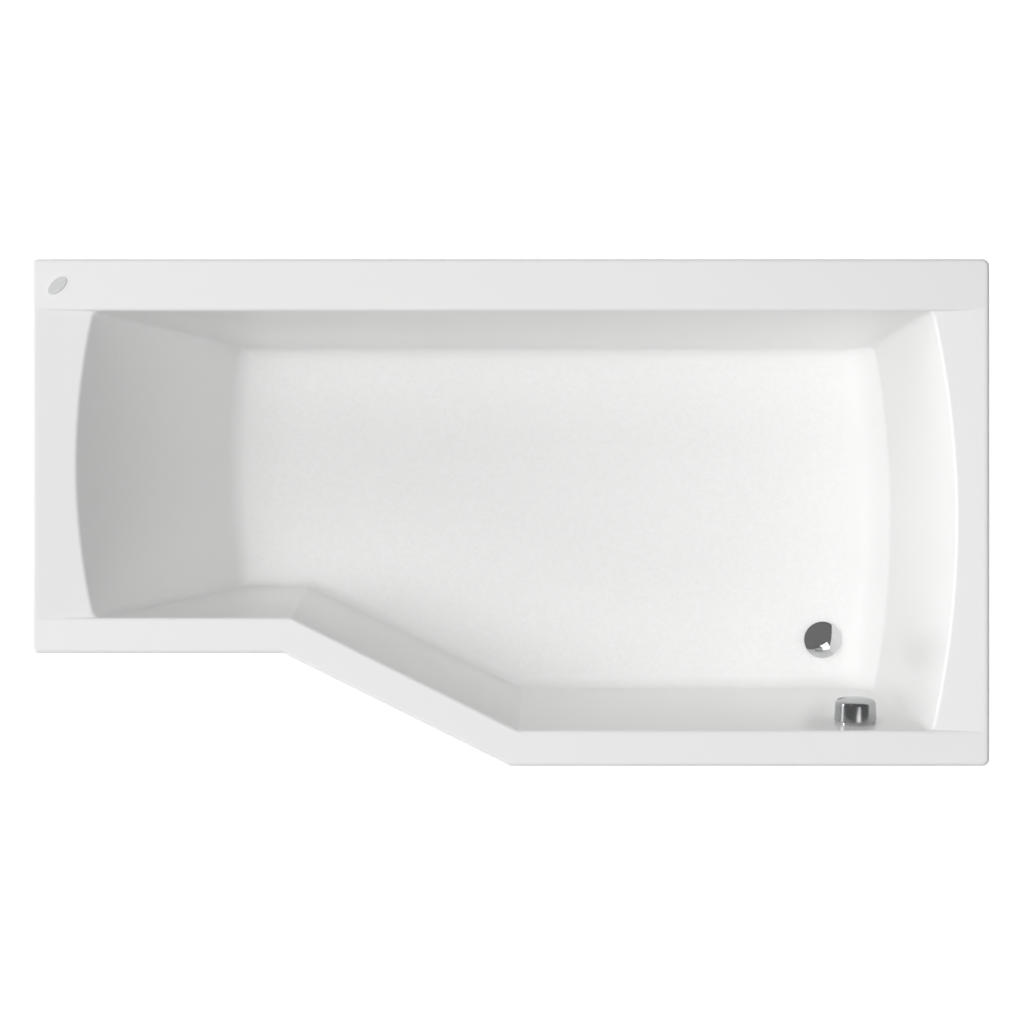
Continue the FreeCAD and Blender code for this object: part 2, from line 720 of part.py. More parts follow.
FLOOR_GROW = "(acrylic + backing)"
BACK_STUD = f"({back_line('well_depth', FLOOR_GROW)} + stud_out)"
FRONT_STUD = f"({front_line('well_depth', FLOOR_GROW)} - stud_out)"
NARROW_STUD = f"({narrow_line('well_depth', FLOOR_GROW)} - stud_out)"
BOARD_BACK = f"({back_line('well_depth')} - board_inset)"
BOARD_FRONT = f"({front_line('well_depth')} + board_inset)"
BOARD_NARROW = f"({narrow_line('well_depth')} + board_inset)"
FLANGE_LINE = "((bar_web + bar_flange) / 2)"


def rows_on_board(front):
    """Two screw rows, evenly about the middle of the board."""
    centre = f"(({BOARD_BACK} + {front}) / 2)"
    return [f"({centre} - screw_pitch / 2)", f"({centre} + screw_pitch / 2)"]


BRACKET_ROWS = [f"({BOARD_FRONT} + screw_edge)", f"({BOARD_FRONT} + screw_edge + bracket_pitch)"]
HEAD_BAR_X = f"(head_bar_from_head - {END})"
FOOT_BAR_X = f"({END} - foot_bar_from_foot)"
BRACKET_X = f"({FOOT_BEND} + bracket_from_bend)"
NARROW_END = f"({NARROW_STUD} - bar_end)"
FRONT_END = f"({FRONT_STUD} - bar_end)"
BACK_END = f"({BACK_STUD} + bar_end)"
BRACKET_END = f"({FRONT_END} + bracket_length)"
BARS = [
    ("head_leg_bar", HEAD_BAR_X, NARROW_END, BACK_END, [NARROW_STUD, BACK_STUD], rows_on_board(BOARD_NARROW)),
    ("foot_leg_bar", FOOT_BAR_X, FRONT_END, BACK_END, [FRONT_STUD, BACK_STUD], rows_on_board(BOARD_FRONT)),
    ("front_leg_bracket", BRACKET_X, FRONT_END, BRACKET_END, [FRONT_STUD], BRACKET_ROWS),
]
FEET = [(x, y) for label, x, low, high, studs, rows in BARS for y in studs]
SCREWS = [(f"({x} + {side} * {FLANGE_LINE})", y)
          for label, x, low, high, studs, rows in BARS for y in rows for side in (-1, 1)]


def make_board():
    body = new_body("base_board")
    sketch = new_sketch(body, "XY_Plane", BOARD_BOTTOM)
    head = f"({head_line('well_depth', True)} + board_inset)"
    draw_outline(sketch, [
        (head, BOARD_BACK),
        (head, BOARD_NARROW),
        (bend_x(HEAD_BEND, "bend_head_shift", "well_depth", "(-board_inset)"), BOARD_NARROW),
        (bend_x(FOOT_BEND, "bend_foot_shift", "well_depth", "(-board_inset)"), BOARD_FRONT),
        (f"{END} - board_from_foot", BOARD_FRONT),
        (f"{END} - board_from_foot", BOARD_BACK),
    ])
    add_pad(body, sketch, "board_thickness")
    pilots = new_sketch(body, "XY_Plane", BOARD_BOTTOM)
    for x, y in SCREWS:
        draw_circle(pilots, x, y, "screw_radius + screw_play")
    add_pocket(body, pilots, "screw_length + screw_play", back=True)
    keep(body, "base_board")


def make_bar(label, x, low, high, studs, rows):
    """Hat section with its web down, screwed up through its flanges."""
    body = new_body(label)
    half = "(bar_web / 2)"
    top = BOARD_BOTTOM
    under = f"({BOARD_BOTTOM} - bar_sheet)"
    right = [
        (f"{half} - bar_sheet", WEB_TOP),
        (f"{half} - bar_sheet", top),
        (f"{half} + bar_flange", top),
        (f"{half} + bar_flange", under),
        (half, under),
        (half, WEB_BOTTOM),
    ]
    section = [(f"{x} + {across}", level) for across, level in right]
    section += [(f"{x} - ({across})", level) for across, level in reversed(right)]
    sketch = new_sketch(body, "XZ_Plane", f"-{high}")
    draw_outline(sketch, section)
    add_pad(body, sketch, f"{high} - {low}")
    holes = new_sketch(body, "XY_Plane", WEB_TOP)
    for y in studs:
        draw_circle(holes, x, y, "stud_radius + web_hole_play")
    add_pocket(body, holes, "bar_sheet")
    screws = new_sketch(body, "XY_Plane", top)
    for y in rows:
        for side in (-1, 1):
            draw_circle(screws, f"{x} + {side} * {FLANGE_LINE}", y, "screw_radius + screw_play")
    add_pocket(body, screws, "bar_sheet")
    keep(body, label)


def make_screws():
    screws = []
    top = "(bar_sheet + screw_length)"
    for x, y in SCREWS:
        body = new_body("wood_screw")
        add_turned(body, [
            ("0", "-screw_head_height"),
            ("screw_head * 0.6", "-screw_head_height"),
            ("screw_head", "-screw_head_height * 0.4"),
            ("screw_head", "0"),
            ("screw_radius", "0"),
            ("screw_radius", f"{top} - screw_radius"),
            ("0", top),
        ])
        screws.append(place(body, x, y, f"{BOARD_BOTTOM} - bar_sheet"))
    group("leg_bar_screws", screws)


def hexagon(across):
    flat = f"({across} / 2)"
    corner = f"({across} / sqrt(3))"
    return [(corner, "0"), (f"{corner} / 2", flat), (f"-{corner} / 2", flat),
            (f"-{corner}", "0"), (f"-{corner} / 2", f"-{flat}"), (f"{corner} / 2", f"-{flat}")]


def make_nuts(label, level):
    nuts = []
    for x, y in FEET:
        body = new_body("nut")
        sketch = new_sketch(body, "XY_Plane")
        draw_outline(sketch, hexagon("nut_across"))
        draw_circle(sketch, "0", "0", "stud_radius + thread_clearance")
        add_pad(body, sketch, "nut_height")
        nuts.append(place(body, x, y, level))
    group(label, nuts)


def make_feet():
    socket = "(stud_radius + thread_clearance)"
    top = f"({WEB_TOP} + stud_top_room)"
    for index, (x, y) in enumerate(FEET, start=1):
        turned(f"foot_pad_{index}", [
            ("0", "0"),
            ("pad_radius", "0"),
            ("pad_radius", "pad_rim"),
            ("pad_neck", "pad_height"),
            (socket, "pad_height"),
            (socket, "pad_floor"),
            ("0", "pad_floor"),
        ], (x, y, "0"))
        stud = new_body(f"foot_stud_{index}")
        add_turned(stud, [
            ("0", "pad_floor"),
            ("stud_radius", "pad_floor"),
            ("stud_radius", f"{top} - stud_radius / 4"),
            ("stud_radius * 0.75", top),
            ("0", top),
        ])
        sketch = new_sketch(stud, "XY_Plane", "pad_height + web_hole_play")
        draw_outline(sketch, hexagon("stud_hex"))
        add_pad(stud, sketch, "stud_hex_height")
        place(stud, x, y, "0")
        keep(stud, f"foot_stud_{index}")


# Waste, plug and bell crank

WASTE = (WASTE_X, WASTE_Y, "0")


def make_waste_flange():
    body = new_body("waste_flange")
    add_turned(body, [
        ("tail_bore", TAIL_BOTTOM),
        ("tail_radius", TAIL_BOTTOM),
        ("tail_radius", SEAT),
        ("flange_radius", SEAT),
        ("flange_radius", f"{FLANGE_TOP} - flange_height / 2"),
        ("flange_radius - flange_height", FLANGE_TOP),
        ("tail_bore + flange_height", FLANGE_TOP),
        ("tail_bore", f"{FLANGE_TOP} - flange_height"),
    ])
    spoke = "(guide_spoke / 2)"
    reach = "((tail_bore + tail_radius) / 2)"
    for along, across in ((reach, spoke), (spoke, reach)):
        sketch = new_sketch(body, "XY_Plane", TAIL_BOTTOM)
        draw_outline(sketch, [(along, across), (f"-{along}", across),
                              (f"-{along}", f"-{across}"), (along, f"-{across}")])
        add_pad(body, sketch, "guide_height / 2")
    hub = new_sketch(body, "XY_Plane", TAIL_BOTTOM)
    draw_circle(hub, "0", "0", "guide_radius")
    add_pad(body, hub, "guide_height")
    bore = new_sketch(body, "XY_Plane", f"{TAIL_BOTTOM} + guide_height")
    draw_circle(bore, "0", "0", "stem_radius + guide_clearance")
    add_pocket(body, bore, "guide_height")
    place(body, *WASTE)
    keep(body, "waste_flange")


def make_waste_body():
    """Chamber under the floor, with a hose tail, a cable boss and the holes of the lever pin."""
    bore = "(tail_radius + assembly_play)"
    chamber = new_body("waste_chamber")
    add_turned(chamber, [
        (bore, BODY_TOP),
        ("body_flange", BODY_TOP),
        ("body_flange", f"{BODY_TOP} - body_flange_height"),
        (f"{bore} + chamber_wall", f"{BODY_TOP} - body_flange_height"),
        (f"{bore} + chamber_wall", ROOF),
        ("chamber_radius", ROOF),
        ("chamber_radius", CHAMBER_BOTTOM),
        ("neck_radius", CHAMBER_BOTTOM),
        ("neck_radius", NECK_BOTTOM),
        ("neck_bore", NECK_BOTTOM),
        ("neck_bore", f"{CHAMBER_BOTTOM} + chamber_wall"),
        ("chamber_radius - chamber_wall", f"{CHAMBER_BOTTOM} + chamber_wall"),
        ("chamber_radius - chamber_wall", f"{ROOF} - chamber_wall"),
        (bore, f"{ROOF} - chamber_wall"),
    ])
    place(chamber, *WASTE)
    inlet = waste_point(INLET_LEVEL)
    cable = waste_point(CABLE_LEVEL)
    start = number("chamber_radius - chamber_wall * 0.75")
    root = "chamber_wall * 0.75"
    tail = cylinder(
        "inlet_tail", "inlet_radius", f"inlet_length + {root}", inlet + TO_HOSE * start, TO_HOSE)
    boss = cylinder(
        "cable_boss", "gland_boss", f"gland_boss_rise + {root}", cable + TO_CABLE * start, TO_CABLE)
    cavity = number("chamber_radius / 2")
    tools = [
        cylinder("inlet_bore", "hose_bore", "chamber_radius + inlet_length",
                 inlet + TO_HOSE * cavity, TO_HOSE),
        cylinder("cable_bore_hole", "cable_bore", "chamber_radius", cable + TO_CABLE * cavity, TO_CABLE),
        cylinder("pin_holes", "pin_radius + pin_clearance", "chamber_radius * 2",
                 pin_centre() - PIN_AXIS * number("chamber_radius"), PIN_AXIS),
    ]
    outside = fuse("waste_body_outside", [chamber, tail, boss])
    keep(cut("waste_body", outside, fuse("waste_body_bores", tools)), "waste_body")


def pin_centre():
    return waste_point(PIN_LEVEL) - TO_CABLE * number("lever_arm")


def make_plug():
    dome = "((cap_radius^2 + cap_dome^2) / (2 * cap_dome))"
    turned("plug_cap", [
        ("0", CAP_INSIDE),
        ("cap_radius - cap_wall", CAP_INSIDE),
        ("cap_radius - cap_wall", CAP_BOTTOM),
        ("cap_radius", CAP_BOTTOM),
        ("cap_radius", f"{CAP_BOTTOM} + cap_edge", dome, 1),
        ("0", f"{CAP_BOTTOM} + cap_edge + cap_dome"),
    ], WASTE)
    seal_bottom = f"{CAP_INSIDE} - plug_seal_height"
    turned("plug_seal", ring("stem_radius", "plug_seal_radius", seal_bottom, CAP_INSIDE), WASTE)
    turned("plug_stem", [
        ("0", STEM_BOTTOM),
        ("stem_radius", STEM_BOTTOM),
        ("stem_radius", CAP_INSIDE),
        ("0", CAP_INSIDE),
    ], WASTE)


def make_lever():
    """Bell crank drawn about the foot of the stem, with its pin behind and the cable eye below the pin."""
    body = new_body("lift_lever")
    side = "lever_thickness / 2"
    arm = "(lever_tip * 0.8)"

    def bar(left, right, low, high):
        sketch = new_sketch(body, "XZ_Plane", f"-{side}")
        draw_outline(sketch, [(left, low), (right, low), (right, high), (left, high)])
        add_pad(body, sketch, "lever_thickness")

    def disc(x, z, radius):
        sketch = new_sketch(body, "XZ_Plane", f"-{side}")
        draw_circle(sketch, x, z, radius)
        add_pad(body, sketch, "lever_thickness")

    disc("-lever_arm", "0", "lever_hub")
    bar("-lever_arm", "0", f"-{arm}", arm)
    bar(f"-lever_arm - {arm}", f"-lever_arm + {arm}", "-lever_drop", "0")
    disc("0", "0", "lever_tip")
    disc("-lever_arm", "-lever_drop", "lever_tip")
    hole = new_sketch(body, "XZ_Plane", f"-{side}")
    draw_circle(hole, "-lever_arm", "0", "pin_radius + pin_clearance")
    add_pocket(body, hole, "lever_thickness", back=True)
    turn = FreeCAD.Rotation(TO_CABLE, PIN_AXIS, UP, "ZXY")
    body.Placement = FreeCAD.Placement(waste_point(PIN_LEVEL), turn)
    keep(body, "lift_lever")
    half = "sqrt((chamber_radius - chamber_wall / 4)^2 - (lever_arm + pin_radius)^2)"
    start = pin_centre() - PIN_AXIS * number(half)
    keep(cylinder("lift_lever_pin", "pin_radius", f"2 * {half}", start, PIN_AXIS), "lift_lever_pin")


# Trap

BEND_LEVEL = f"({NECK_BOTTOM} - trap_leg)"
RISER_TOP = f"({BEND_LEVEL} + riser_gap + neck_length)"
OUTLET_LEVEL = f"({RISER_TOP} + trap_leg + elbow_radius)"
RISER_Y = f"({WASTE_Y} + 2 * trap_radius)"
NUT_LIP = "(pipe_nut_height - neck_length * 0.8)"


def pipe_run(name, radius, parts):
    """Fuse straight and bent stretches of one pipe. A bend is a slice of a ring in the YZ plane."""
    shapes = []
    for index, (kind, at, along, size) in enumerate(parts):
        if kind == "straight":
            shapes.append(cylinder(f"{name}_{index}", radius, size, at, along))
            continue
        bend = doc.addObject("Part::Torus", f"{name}_{index}")
        bend.setExpression("Radius1", bound(size))
        bend.setExpression("Radius2", bound(radius))
        bend.Angle3 = along[1] - along[0]
        spin = FreeCAD.Rotation(TO_WALL, UP, FreeCAD.Vector(1, 0, 0), "ZXY")
        start = FreeCAD.Rotation(UP, along[0])
        bend.Placement = FreeCAD.Placement(at, spin.multiply(start))
        shapes.append(bend)
    return fuse(name, shapes)


def make_trap():
    inside = "(pipe_radius - pipe_wall)"
    collar = "((neck_radius + pipe_radius) / 2)"
    inlet = waste_point(NECK_BOTTOM)
    riser = point(WASTE_X, RISER_Y, RISER_TOP)
    bend_centre = point(WASTE_X, f"{WASTE_Y} + trap_radius", BEND_LEVEL)
    bend = [
        ("straight", inlet, DOWN, "trap_leg"),
        ("bend", bend_centre, (180, 360), "trap_radius"),
        ("straight", riser, DOWN, "riser_gap + neck_length"),
    ]
    thread = cylinder("riser_thread", "neck_radius", "neck_length", riser, DOWN)
    inlet_collar = cylinder("inlet_collar", collar, "collar_height", inlet, DOWN)
    outside = fuse("trap_bend_outside", [pipe_run("bend_pipe", "pipe_radius", bend), thread, inlet_collar])
    keep(cut("trap_bend", outside, pipe_run("bend_bore", inside, bend)), "trap_bend")

    elbow_centre = point(WASTE_X, f"{RISER_Y} + elbow_radius", f"{RISER_TOP} + trap_leg")
    spigot = point(WASTE_X, f"{RISER_Y} + elbow_radius", OUTLET_LEVEL)
    run = [
        ("straight", riser, UP, "trap_leg"),
        ("bend", elbow_centre, (90, 180), "elbow_radius"),
        ("straight", spigot, TO_WALL, "spigot_length"),
    ]
    outlet_collar = cylinder("outlet_collar", collar, "collar_height", riser, UP)
    outside = fuse("trap_outlet_outside", [pipe_run("outlet_pipe", "pipe_radius", run), outlet_collar])
    keep(cut("trap_outlet", outside, pipe_run("outlet_bore", inside, run)), "trap_outlet")

    grip = "(neck_radius + assembly_play)"
    hold = "(pipe_radius + assembly_play)"
    nut = [
        (hold, "-collar_height"),
        (hold, f"-collar_height - {NUT_LIP}"),
        (f"{grip} + pipe_nut_wall", f"-collar_height - {NUT_LIP}"),
        (f"{grip} + pipe_nut_wall", f"-collar_height - {NUT_LIP} + pipe_nut_height"),
        (grip, f"-collar_height - {NUT_LIP} + pipe_nut_height"),
        (grip, "-collar_height"),
    ]
    turned_along("trap_inlet_nut", nut, inlet, UP)
    turned_along("trap_outlet_nut", nut, riser, DOWN)


# Overflow, knob and cable crank


def wall_body(label):
    body = new_body(label)
    body.Placement = WALL
    return body


def make_overflow():
    seal = wall_body("overflow_seal")
    add_turned(seal, ring("overflow_hole", "housing_flange", HOUSING_TOP, f"-{WALL_THICKNESS}"))
    keep(seal, "overflow_seal")

    flange = f"({HOUSING_TOP} - housing_flange_height)"
    inner = "(housing_radius - housing_wall)"
    bearing = "(spindle_radius + spindle_clearance)"
    cup = wall_body("overflow_cup")
    add_turned(cup, [
        ("0", HOUSING_BACK),
        ("housing_radius", HOUSING_BACK),
        ("housing_radius", flange),
        ("housing_flange", flange),
        ("housing_flange", HOUSING_TOP),
        (inner, HOUSING_TOP),
        (inner, f"{HOUSING_BACK} + housing_wall"),
        ("spindle_boss", f"{HOUSING_BACK} + housing_wall"),
        ("spindle_boss", f"{HOUSING_BACK} + spindle_boss_length"),
        (bearing, f"{HOUSING_BACK} + spindle_boss_length"),
        (bearing, f"{HOUSING_BACK} + housing_wall"),
        ("0", f"{HOUSING_BACK} + housing_wall"),
    ])
    skin = f"({inner} + housing_wall * 0.25)"
    tail = cylinder("outlet_tail", "outlet_radius", f"housing_radius + outlet_length - {skin}",
                    on_wall("0", skin, HOUSING_MIDDLE), DOWN_WALL)
    beside = on_wall("-cable_side", "0", HOUSING_MIDDLE)
    boss = cylinder("top_cable_boss", "gland_boss", "housing_radius", beside, DOWN_WALL)
    cavity = cylinder("cup_cavity", inner, "housing_depth + housing_flange_height - housing_wall",
                      on_wall("0", "0", f"{HOUSING_BACK} + housing_wall"), INTO_BATH)
    cable_boss = cut("top_cable_boss_trimmed", boss, cavity)
    post_foot = f"({HOUSING_TOP} - housing_depth / 2)"
    posts = [
        cylinder("screw_post", "face_boss", "housing_depth / 2",
                 on_wall(f"{side} * face_screw_circle", "0", post_foot), INTO_BATH)
        for side in (-1, 1)
    ]
    bores = [
        cylinder("outlet_bore_hole", "hose_bore", "housing_radius + outlet_length",
                 on_wall("0", f"{inner} / 2", HOUSING_MIDDLE), DOWN_WALL),
        cylinder("top_cable_hole", "cable_bore", "housing_radius * 2", beside, DOWN_WALL),
    ]
    for side in (-1, 1):
        bores.append(cylinder(
            "post_hole", "face_screw_radius + assembly_play", "housing_depth / 2 - housing_wall",
            on_wall(f"{side} * face_screw_circle", "0", f"{post_foot} + housing_wall"), INTO_BATH))
    outside = fuse("overflow_outside", [cup, tail, cable_boss] + posts)
    keep(cut("overflow_body", outside, fuse("overflow_bores", bores)), "overflow_body")


def make_overflow_face():
    """Ring inside the bath that carries the front of the spindle and the two screws."""
    body = wall_body("overflow_face")
    inner = "(face_screw_circle - face_boss)"
    add_turned(body, ring(inner, "face_radius", "0", "face_height"))
    spoke = "(guide_spoke / 2)"
    reach = "face_screw_circle"
    sketch = new_sketch(body, "XY_Plane")
    draw_outline(sketch, [
        (spoke, reach), (f"-{spoke}", reach), (f"-{spoke}", f"-{reach}"), (spoke, f"-{reach}")])
    add_pad(body, sketch, "face_height")
    hub = new_sketch(body, "XY_Plane")
    draw_circle(hub, "0", "0", "spindle_boss")
    add_pad(body, hub, "face_height")
    holes = new_sketch(body, "XY_Plane", "face_height")
    draw_circle(holes, "0", "0", "spindle_radius + spindle_clearance")
    for side in (-1, 1):
        draw_circle(holes, f"{side} * face_screw_circle", "0", "face_screw_radius + assembly_play")
    add_pocket(body, holes, "face_height")
    keep(body, "overflow_face")
    screws = []
    for side in (-1, 1):
        screw = new_body("face_screw")
        add_turned(screw, [
            ("0", f"{HOUSING_TOP} - housing_depth / 2 + housing_wall * 2"),
            ("face_screw_radius", f"{HOUSING_TOP} - housing_depth / 2 + housing_wall * 2"),
            ("face_screw_radius", "face_height"),
            ("face_screw_radius * 2", "face_height"),
            ("face_screw_radius * 2", "face_height + face_screw_radius * 0.5"),
            ("face_screw_radius", "face_height + face_screw_radius"),
            ("0", "face_height + face_screw_radius"),
        ])
        screw.Placement = FreeCAD.Placement(on_wall(f"{side} * face_screw_circle", "0", "0"), WALL.Rotation)
        screws.append(screw)
    group("overflow_screws", screws)


def make_knob():
    front = "(knob_gap + knob_length)"
    hub_back = "(face_height + face_screw_radius + knob_gap)"
    ceiling = f"({front} - knob_wall - knob_dome)"
    socket = "(spindle_radius + assembly_play)"
    dome = "((knob_front_radius^2 + knob_dome^2) / (2 * knob_dome))"
    drum = wall_body("knob_drum")
    add_turned(drum, [
        (socket, hub_back),
        ("knob_hub", hub_back),
        ("knob_hub", ceiling),
        ("knob_front_radius - knob_wall - knob_edge_radius / 2", ceiling),
        ("knob_front_radius - knob_wall", f"{ceiling} - knob_edge_radius / 2"),
        ("knob_radius - knob_wall", "knob_gap"),
        ("knob_radius", "knob_gap"),
        ("knob_front_radius", front, dome, 1),
        ("0", f"{front} + knob_dome"),
        ("0", ceiling),
        (socket, ceiling),
    ])

    def ring_at(radius, level):
        def chosen(edge):
            reaches = [math.hypot(vertex.X, vertex.Y) - number(radius) for vertex in edge.Vertexes]
            rises = [vertex.Z - number(level) for vertex in edge.Vertexes]
            return all(abs(off) < 0.01 for off in reaches + rises)

        return chosen

    add_fillet(drum, "knob_edge_radius", ring_at("knob_front_radius", front))
    add_fillet(drum, "knob_wall * 0.7", ring_at("knob_radius", "knob_gap"))
    level = f"({hub_back} + knob_screw_radius * 3)"
    axis = on_wall("0", "0", level)
    tap = cylinder("grub_hole", "knob_screw_radius + assembly_play", "knob_radius * 2", axis, DOWN_WALL)
    keep(cut("overflow_knob", drum, tap), "overflow_knob")
    seat = on_wall("0", socket, level)
    keep(cylinder("knob_screw", "knob_screw_radius", "knob_screw_length", seat, DOWN_WALL), "knob_screw")

    spindle = wall_body("knob_spindle")
    add_turned(spindle, [
        ("0", f"{HOUSING_BACK} + housing_wall + lever_gap"),
        ("spindle_radius", f"{HOUSING_BACK} + housing_wall + lever_gap"),
        ("spindle_radius", ceiling),
        ("0", ceiling),
    ])
    keep(spindle, "knob_spindle")

    crank = wall_body("cable_crank")
    base = f"({HOUSING_BACK} + spindle_boss_length + lever_gap)"
    for x, y, radius in (("0", "0", "spindle_boss"), ("-crank_radius", "0", "face_boss")):
        sketch = new_sketch(crank, "XY_Plane", base)
        draw_circle(sketch, x, y, radius)
        add_pad(crank, sketch, "crank_thickness")
    arm = new_sketch(crank, "XY_Plane", base)
    width = "(face_boss * 0.8)"
    draw_outline(arm, [
        ("0", width), ("-crank_radius", width), ("-crank_radius", f"-{width}"), ("0", f"-{width}")])
    add_pad(crank, arm, "crank_thickness")
    bore = new_sketch(crank, "XY_Plane", f"{base} + crank_thickness")
    draw_circle(bore, "0", "0", "spindle_radius")
    draw_circle(bore, "-crank_radius", "0", "wire_radius + assembly_play")
    add_pocket(crank, bore, "crank_thickness")
    keep(crank, "cable_crank")


# Hose and pull cable: down behind the wall, round one bend, in under the floor


class Route:
    """Straight run, tangent arc and straight run by way of one corner."""

    def __init__(self, start, corner, end, radius):
        self.start = start
        self.end = end
        self.radius = radius
        self.first = (corner - start).normalize()
        self.second = (end - corner).normalize()
        self.side = self.first.cross(self.second).normalize()
        self.turn = self.first.getAngle(self.second)
        setback = number(radius) * math.tan(self.turn / 2)
        self.arc_start = corner - self.first * setback
        self.arc_end = corner + self.second * setback
        self.centre = self.arc_start + self.side.cross(self.first) * number(radius)
        self.first_run = (self.arc_start - start).Length
        self.arc_run = number(radius) * self.turn
        self.second_run = (end - self.arc_end).Length
        self.length = self.first_run + self.arc_run + self.second_run

    def tube(self, name, radius):
        """Round bar along the whole route."""
        bend = doc.addObject("Part::Torus", f"{name}_bend")
        bend.setExpression("Radius1", bound(self.radius))
        bend.setExpression("Radius2", bound(radius))
        bend.Angle3 = math.degrees(self.turn)
        outward = (self.arc_start - self.centre).normalize()
        frame = FreeCAD.Rotation(outward, self.first, self.side, "ZXY")
        bend.Placement = FreeCAD.Placement(self.centre, frame)
        return fuse(name, [
            cylinder(f"{name}_start", radius, str(self.first_run), self.start, self.first),
            bend,
            cylinder(f"{name}_end", radius, str(self.second_run), self.arc_end, self.second),
        ])

    def circle(self, distance, radius):
        """Circle about the route, at a distance along it."""
        along = min(max(distance - self.first_run, 0), self.arc_run)
        spin = FreeCAD.Rotation(self.side, math.degrees(along / number(self.radius)))
        centre = self.centre + spin.multVec(self.arc_start - self.centre)
        heading = spin.multVec(self.first)
        if distance < self.first_run:
            centre = self.start + self.first * distance
        if distance > self.first_run + self.arc_run:
            centre = self.arc_end + self.second * (distance - self.first_run - self.arc_run)
        frame = FreeCAD.Rotation(self.side, heading.cross(self.side), heading, "ZXY")
        curve = Part.Circle(FreeCAD.Vector(0, 0, 0), UP, radius)
        wire = Part.Wire(curve.toShape())
        wire.Placement = FreeCAD.Placement(centre, frame)
        return wire


def make_hose():
    """Ribbed hose with a plain cuff at each end, and the nuts over its joints."""
    tail = "(chamber_radius + inlet_length)"
    start = on_wall("0", "housing_radius + outlet_length", HOUSING_MIDDLE)
    end = waste_point(INLET_LEVEL) + TO_HOSE * number(tail)
    route = Route(start, HOSE_CORNER, end, "hose_bend")
    ribbed = route.length - 2 * sheet.hose_cuff
    count = round(ribbed / sheet.rib_pitch)
    pitch = ribbed / count
    stations = [(0, sheet.hose_radius), (sheet.hose_cuff, sheet.hose_radius)]
    for rib in range(count):
        base = sheet.hose_cuff + rib * pitch
        stations += [
            (base + pitch * 0.15, sheet.hose_root),
            (base + pitch * 0.4, sheet.hose_root),
            (base + pitch * 0.55, sheet.hose_radius),
            (base + pitch, sheet.hose_radius),
        ]
    stations.append((route.length, sheet.hose_radius))
    ribs = doc.addObject("Part::Feature", "hose_ribs")
    ribs.Shape = Part.makeLoft([route.circle(*station) for station in stations], True, True)
    keep(cut("overflow_hose", ribs, route.tube("hose_inside", "hose_bore")), "overflow_hose")
    grip = "(hose_radius + assembly_play)"
    nut = ring(grip, f"{grip} + hose_nut_wall", "-hose_nut_height / 2", "hose_nut_height / 2")
    turned_along("hose_top_nut", nut, start, DOWN_WALL)
    turned_along("hose_bottom_nut", nut, end, TO_HOSE)


def make_cable():
    """Pull cable: sheath, wire inside it, and a gland on the boss at each end."""
    top = on_wall("-cable_side", "housing_radius", HOUSING_MIDDLE)
    bottom = waste_point(CABLE_LEVEL) + TO_CABLE * number("chamber_radius + gland_boss_rise")
    gland = [
        ("cable_bore", "0"),
        ("gland_radius", "0"),
        ("gland_radius", "gland_length * 0.7"),
        ("gland_radius * 0.7", "gland_length"),
        ("cable_radius + assembly_play", "gland_length"),
        ("cable_radius + assembly_play", "gland_seat"),
        ("cable_bore", "gland_seat"),
    ]
    turned_along("cable_top_gland", gland, top, DOWN_WALL)
    turned_along("cable_bottom_gland", gland, bottom, TO_CABLE)
    seat = number("gland_seat")
    route = Route(top + DOWN_WALL * seat, CABLE_CORNER, bottom + TO_CABLE * seat, "cable_bend")
    outside = route.tube("sheath_outside", "cable_radius")
    keep(cut("cable_sheath", outside, route.tube("sheath_inside", "cable_bore")), "cable_sheath")
    wire = Route(top, CABLE_CORNER, bottom, "cable_bend")
    keep(wire.tube("cable_wire", "wire_radius"), "cable_wire")


# Build, check and write

make_shell()
make_badge()
make_board()
for bar in BARS:
    make_bar(*bar)
make_screws()
make_nuts("leg_weld_nuts", WEB_TOP)
make_nuts("leg_lock_nuts", f"{WEB_BOTTOM} - nut_height")
make_feet()
make_waste_flange()
turned("waste_top_seal", ring("waste_hole", "flange_radius - seal_thickness", FLOOR, SEAT), WASTE)
seal_edge = "body_flange - bottom_seal_thickness"
turned("waste_bottom_seal", ring("waste_hole", seal_edge, BODY_TOP, UNDERSIDE), WASTE)
make_waste_body()
make_plug()
make_lever()
make_trap()
make_overflow()
make_overflow_face()
make_knob()
make_hose()
make_cable()
doc.recompute()

for item in doc.Objects:
    if "Invalid" in item.State or "Error" in item.State:
        raise RuntimeError(f"{item.Label} did not build: {item.State}")
for node in NODES:
    if node.Shape.isNull() or not node.Shape.isValid():
        raise RuntimeError(f"{node.Label} has no valid shape")

os.makedirs("parts", exist_ok=True)
for node in NODES:
    node.Shape.exportStep(os.path.join("parts", f"{node.Label}.step"))
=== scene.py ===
import json
import logging
import math
from dataclasses import dataclass, field
from enum import Enum
from typing import Callable, Sequence

import bmesh
import bpy
from mathutils import Matrix, Vector
from mathutils.geometry import delaunay_2d_cdt


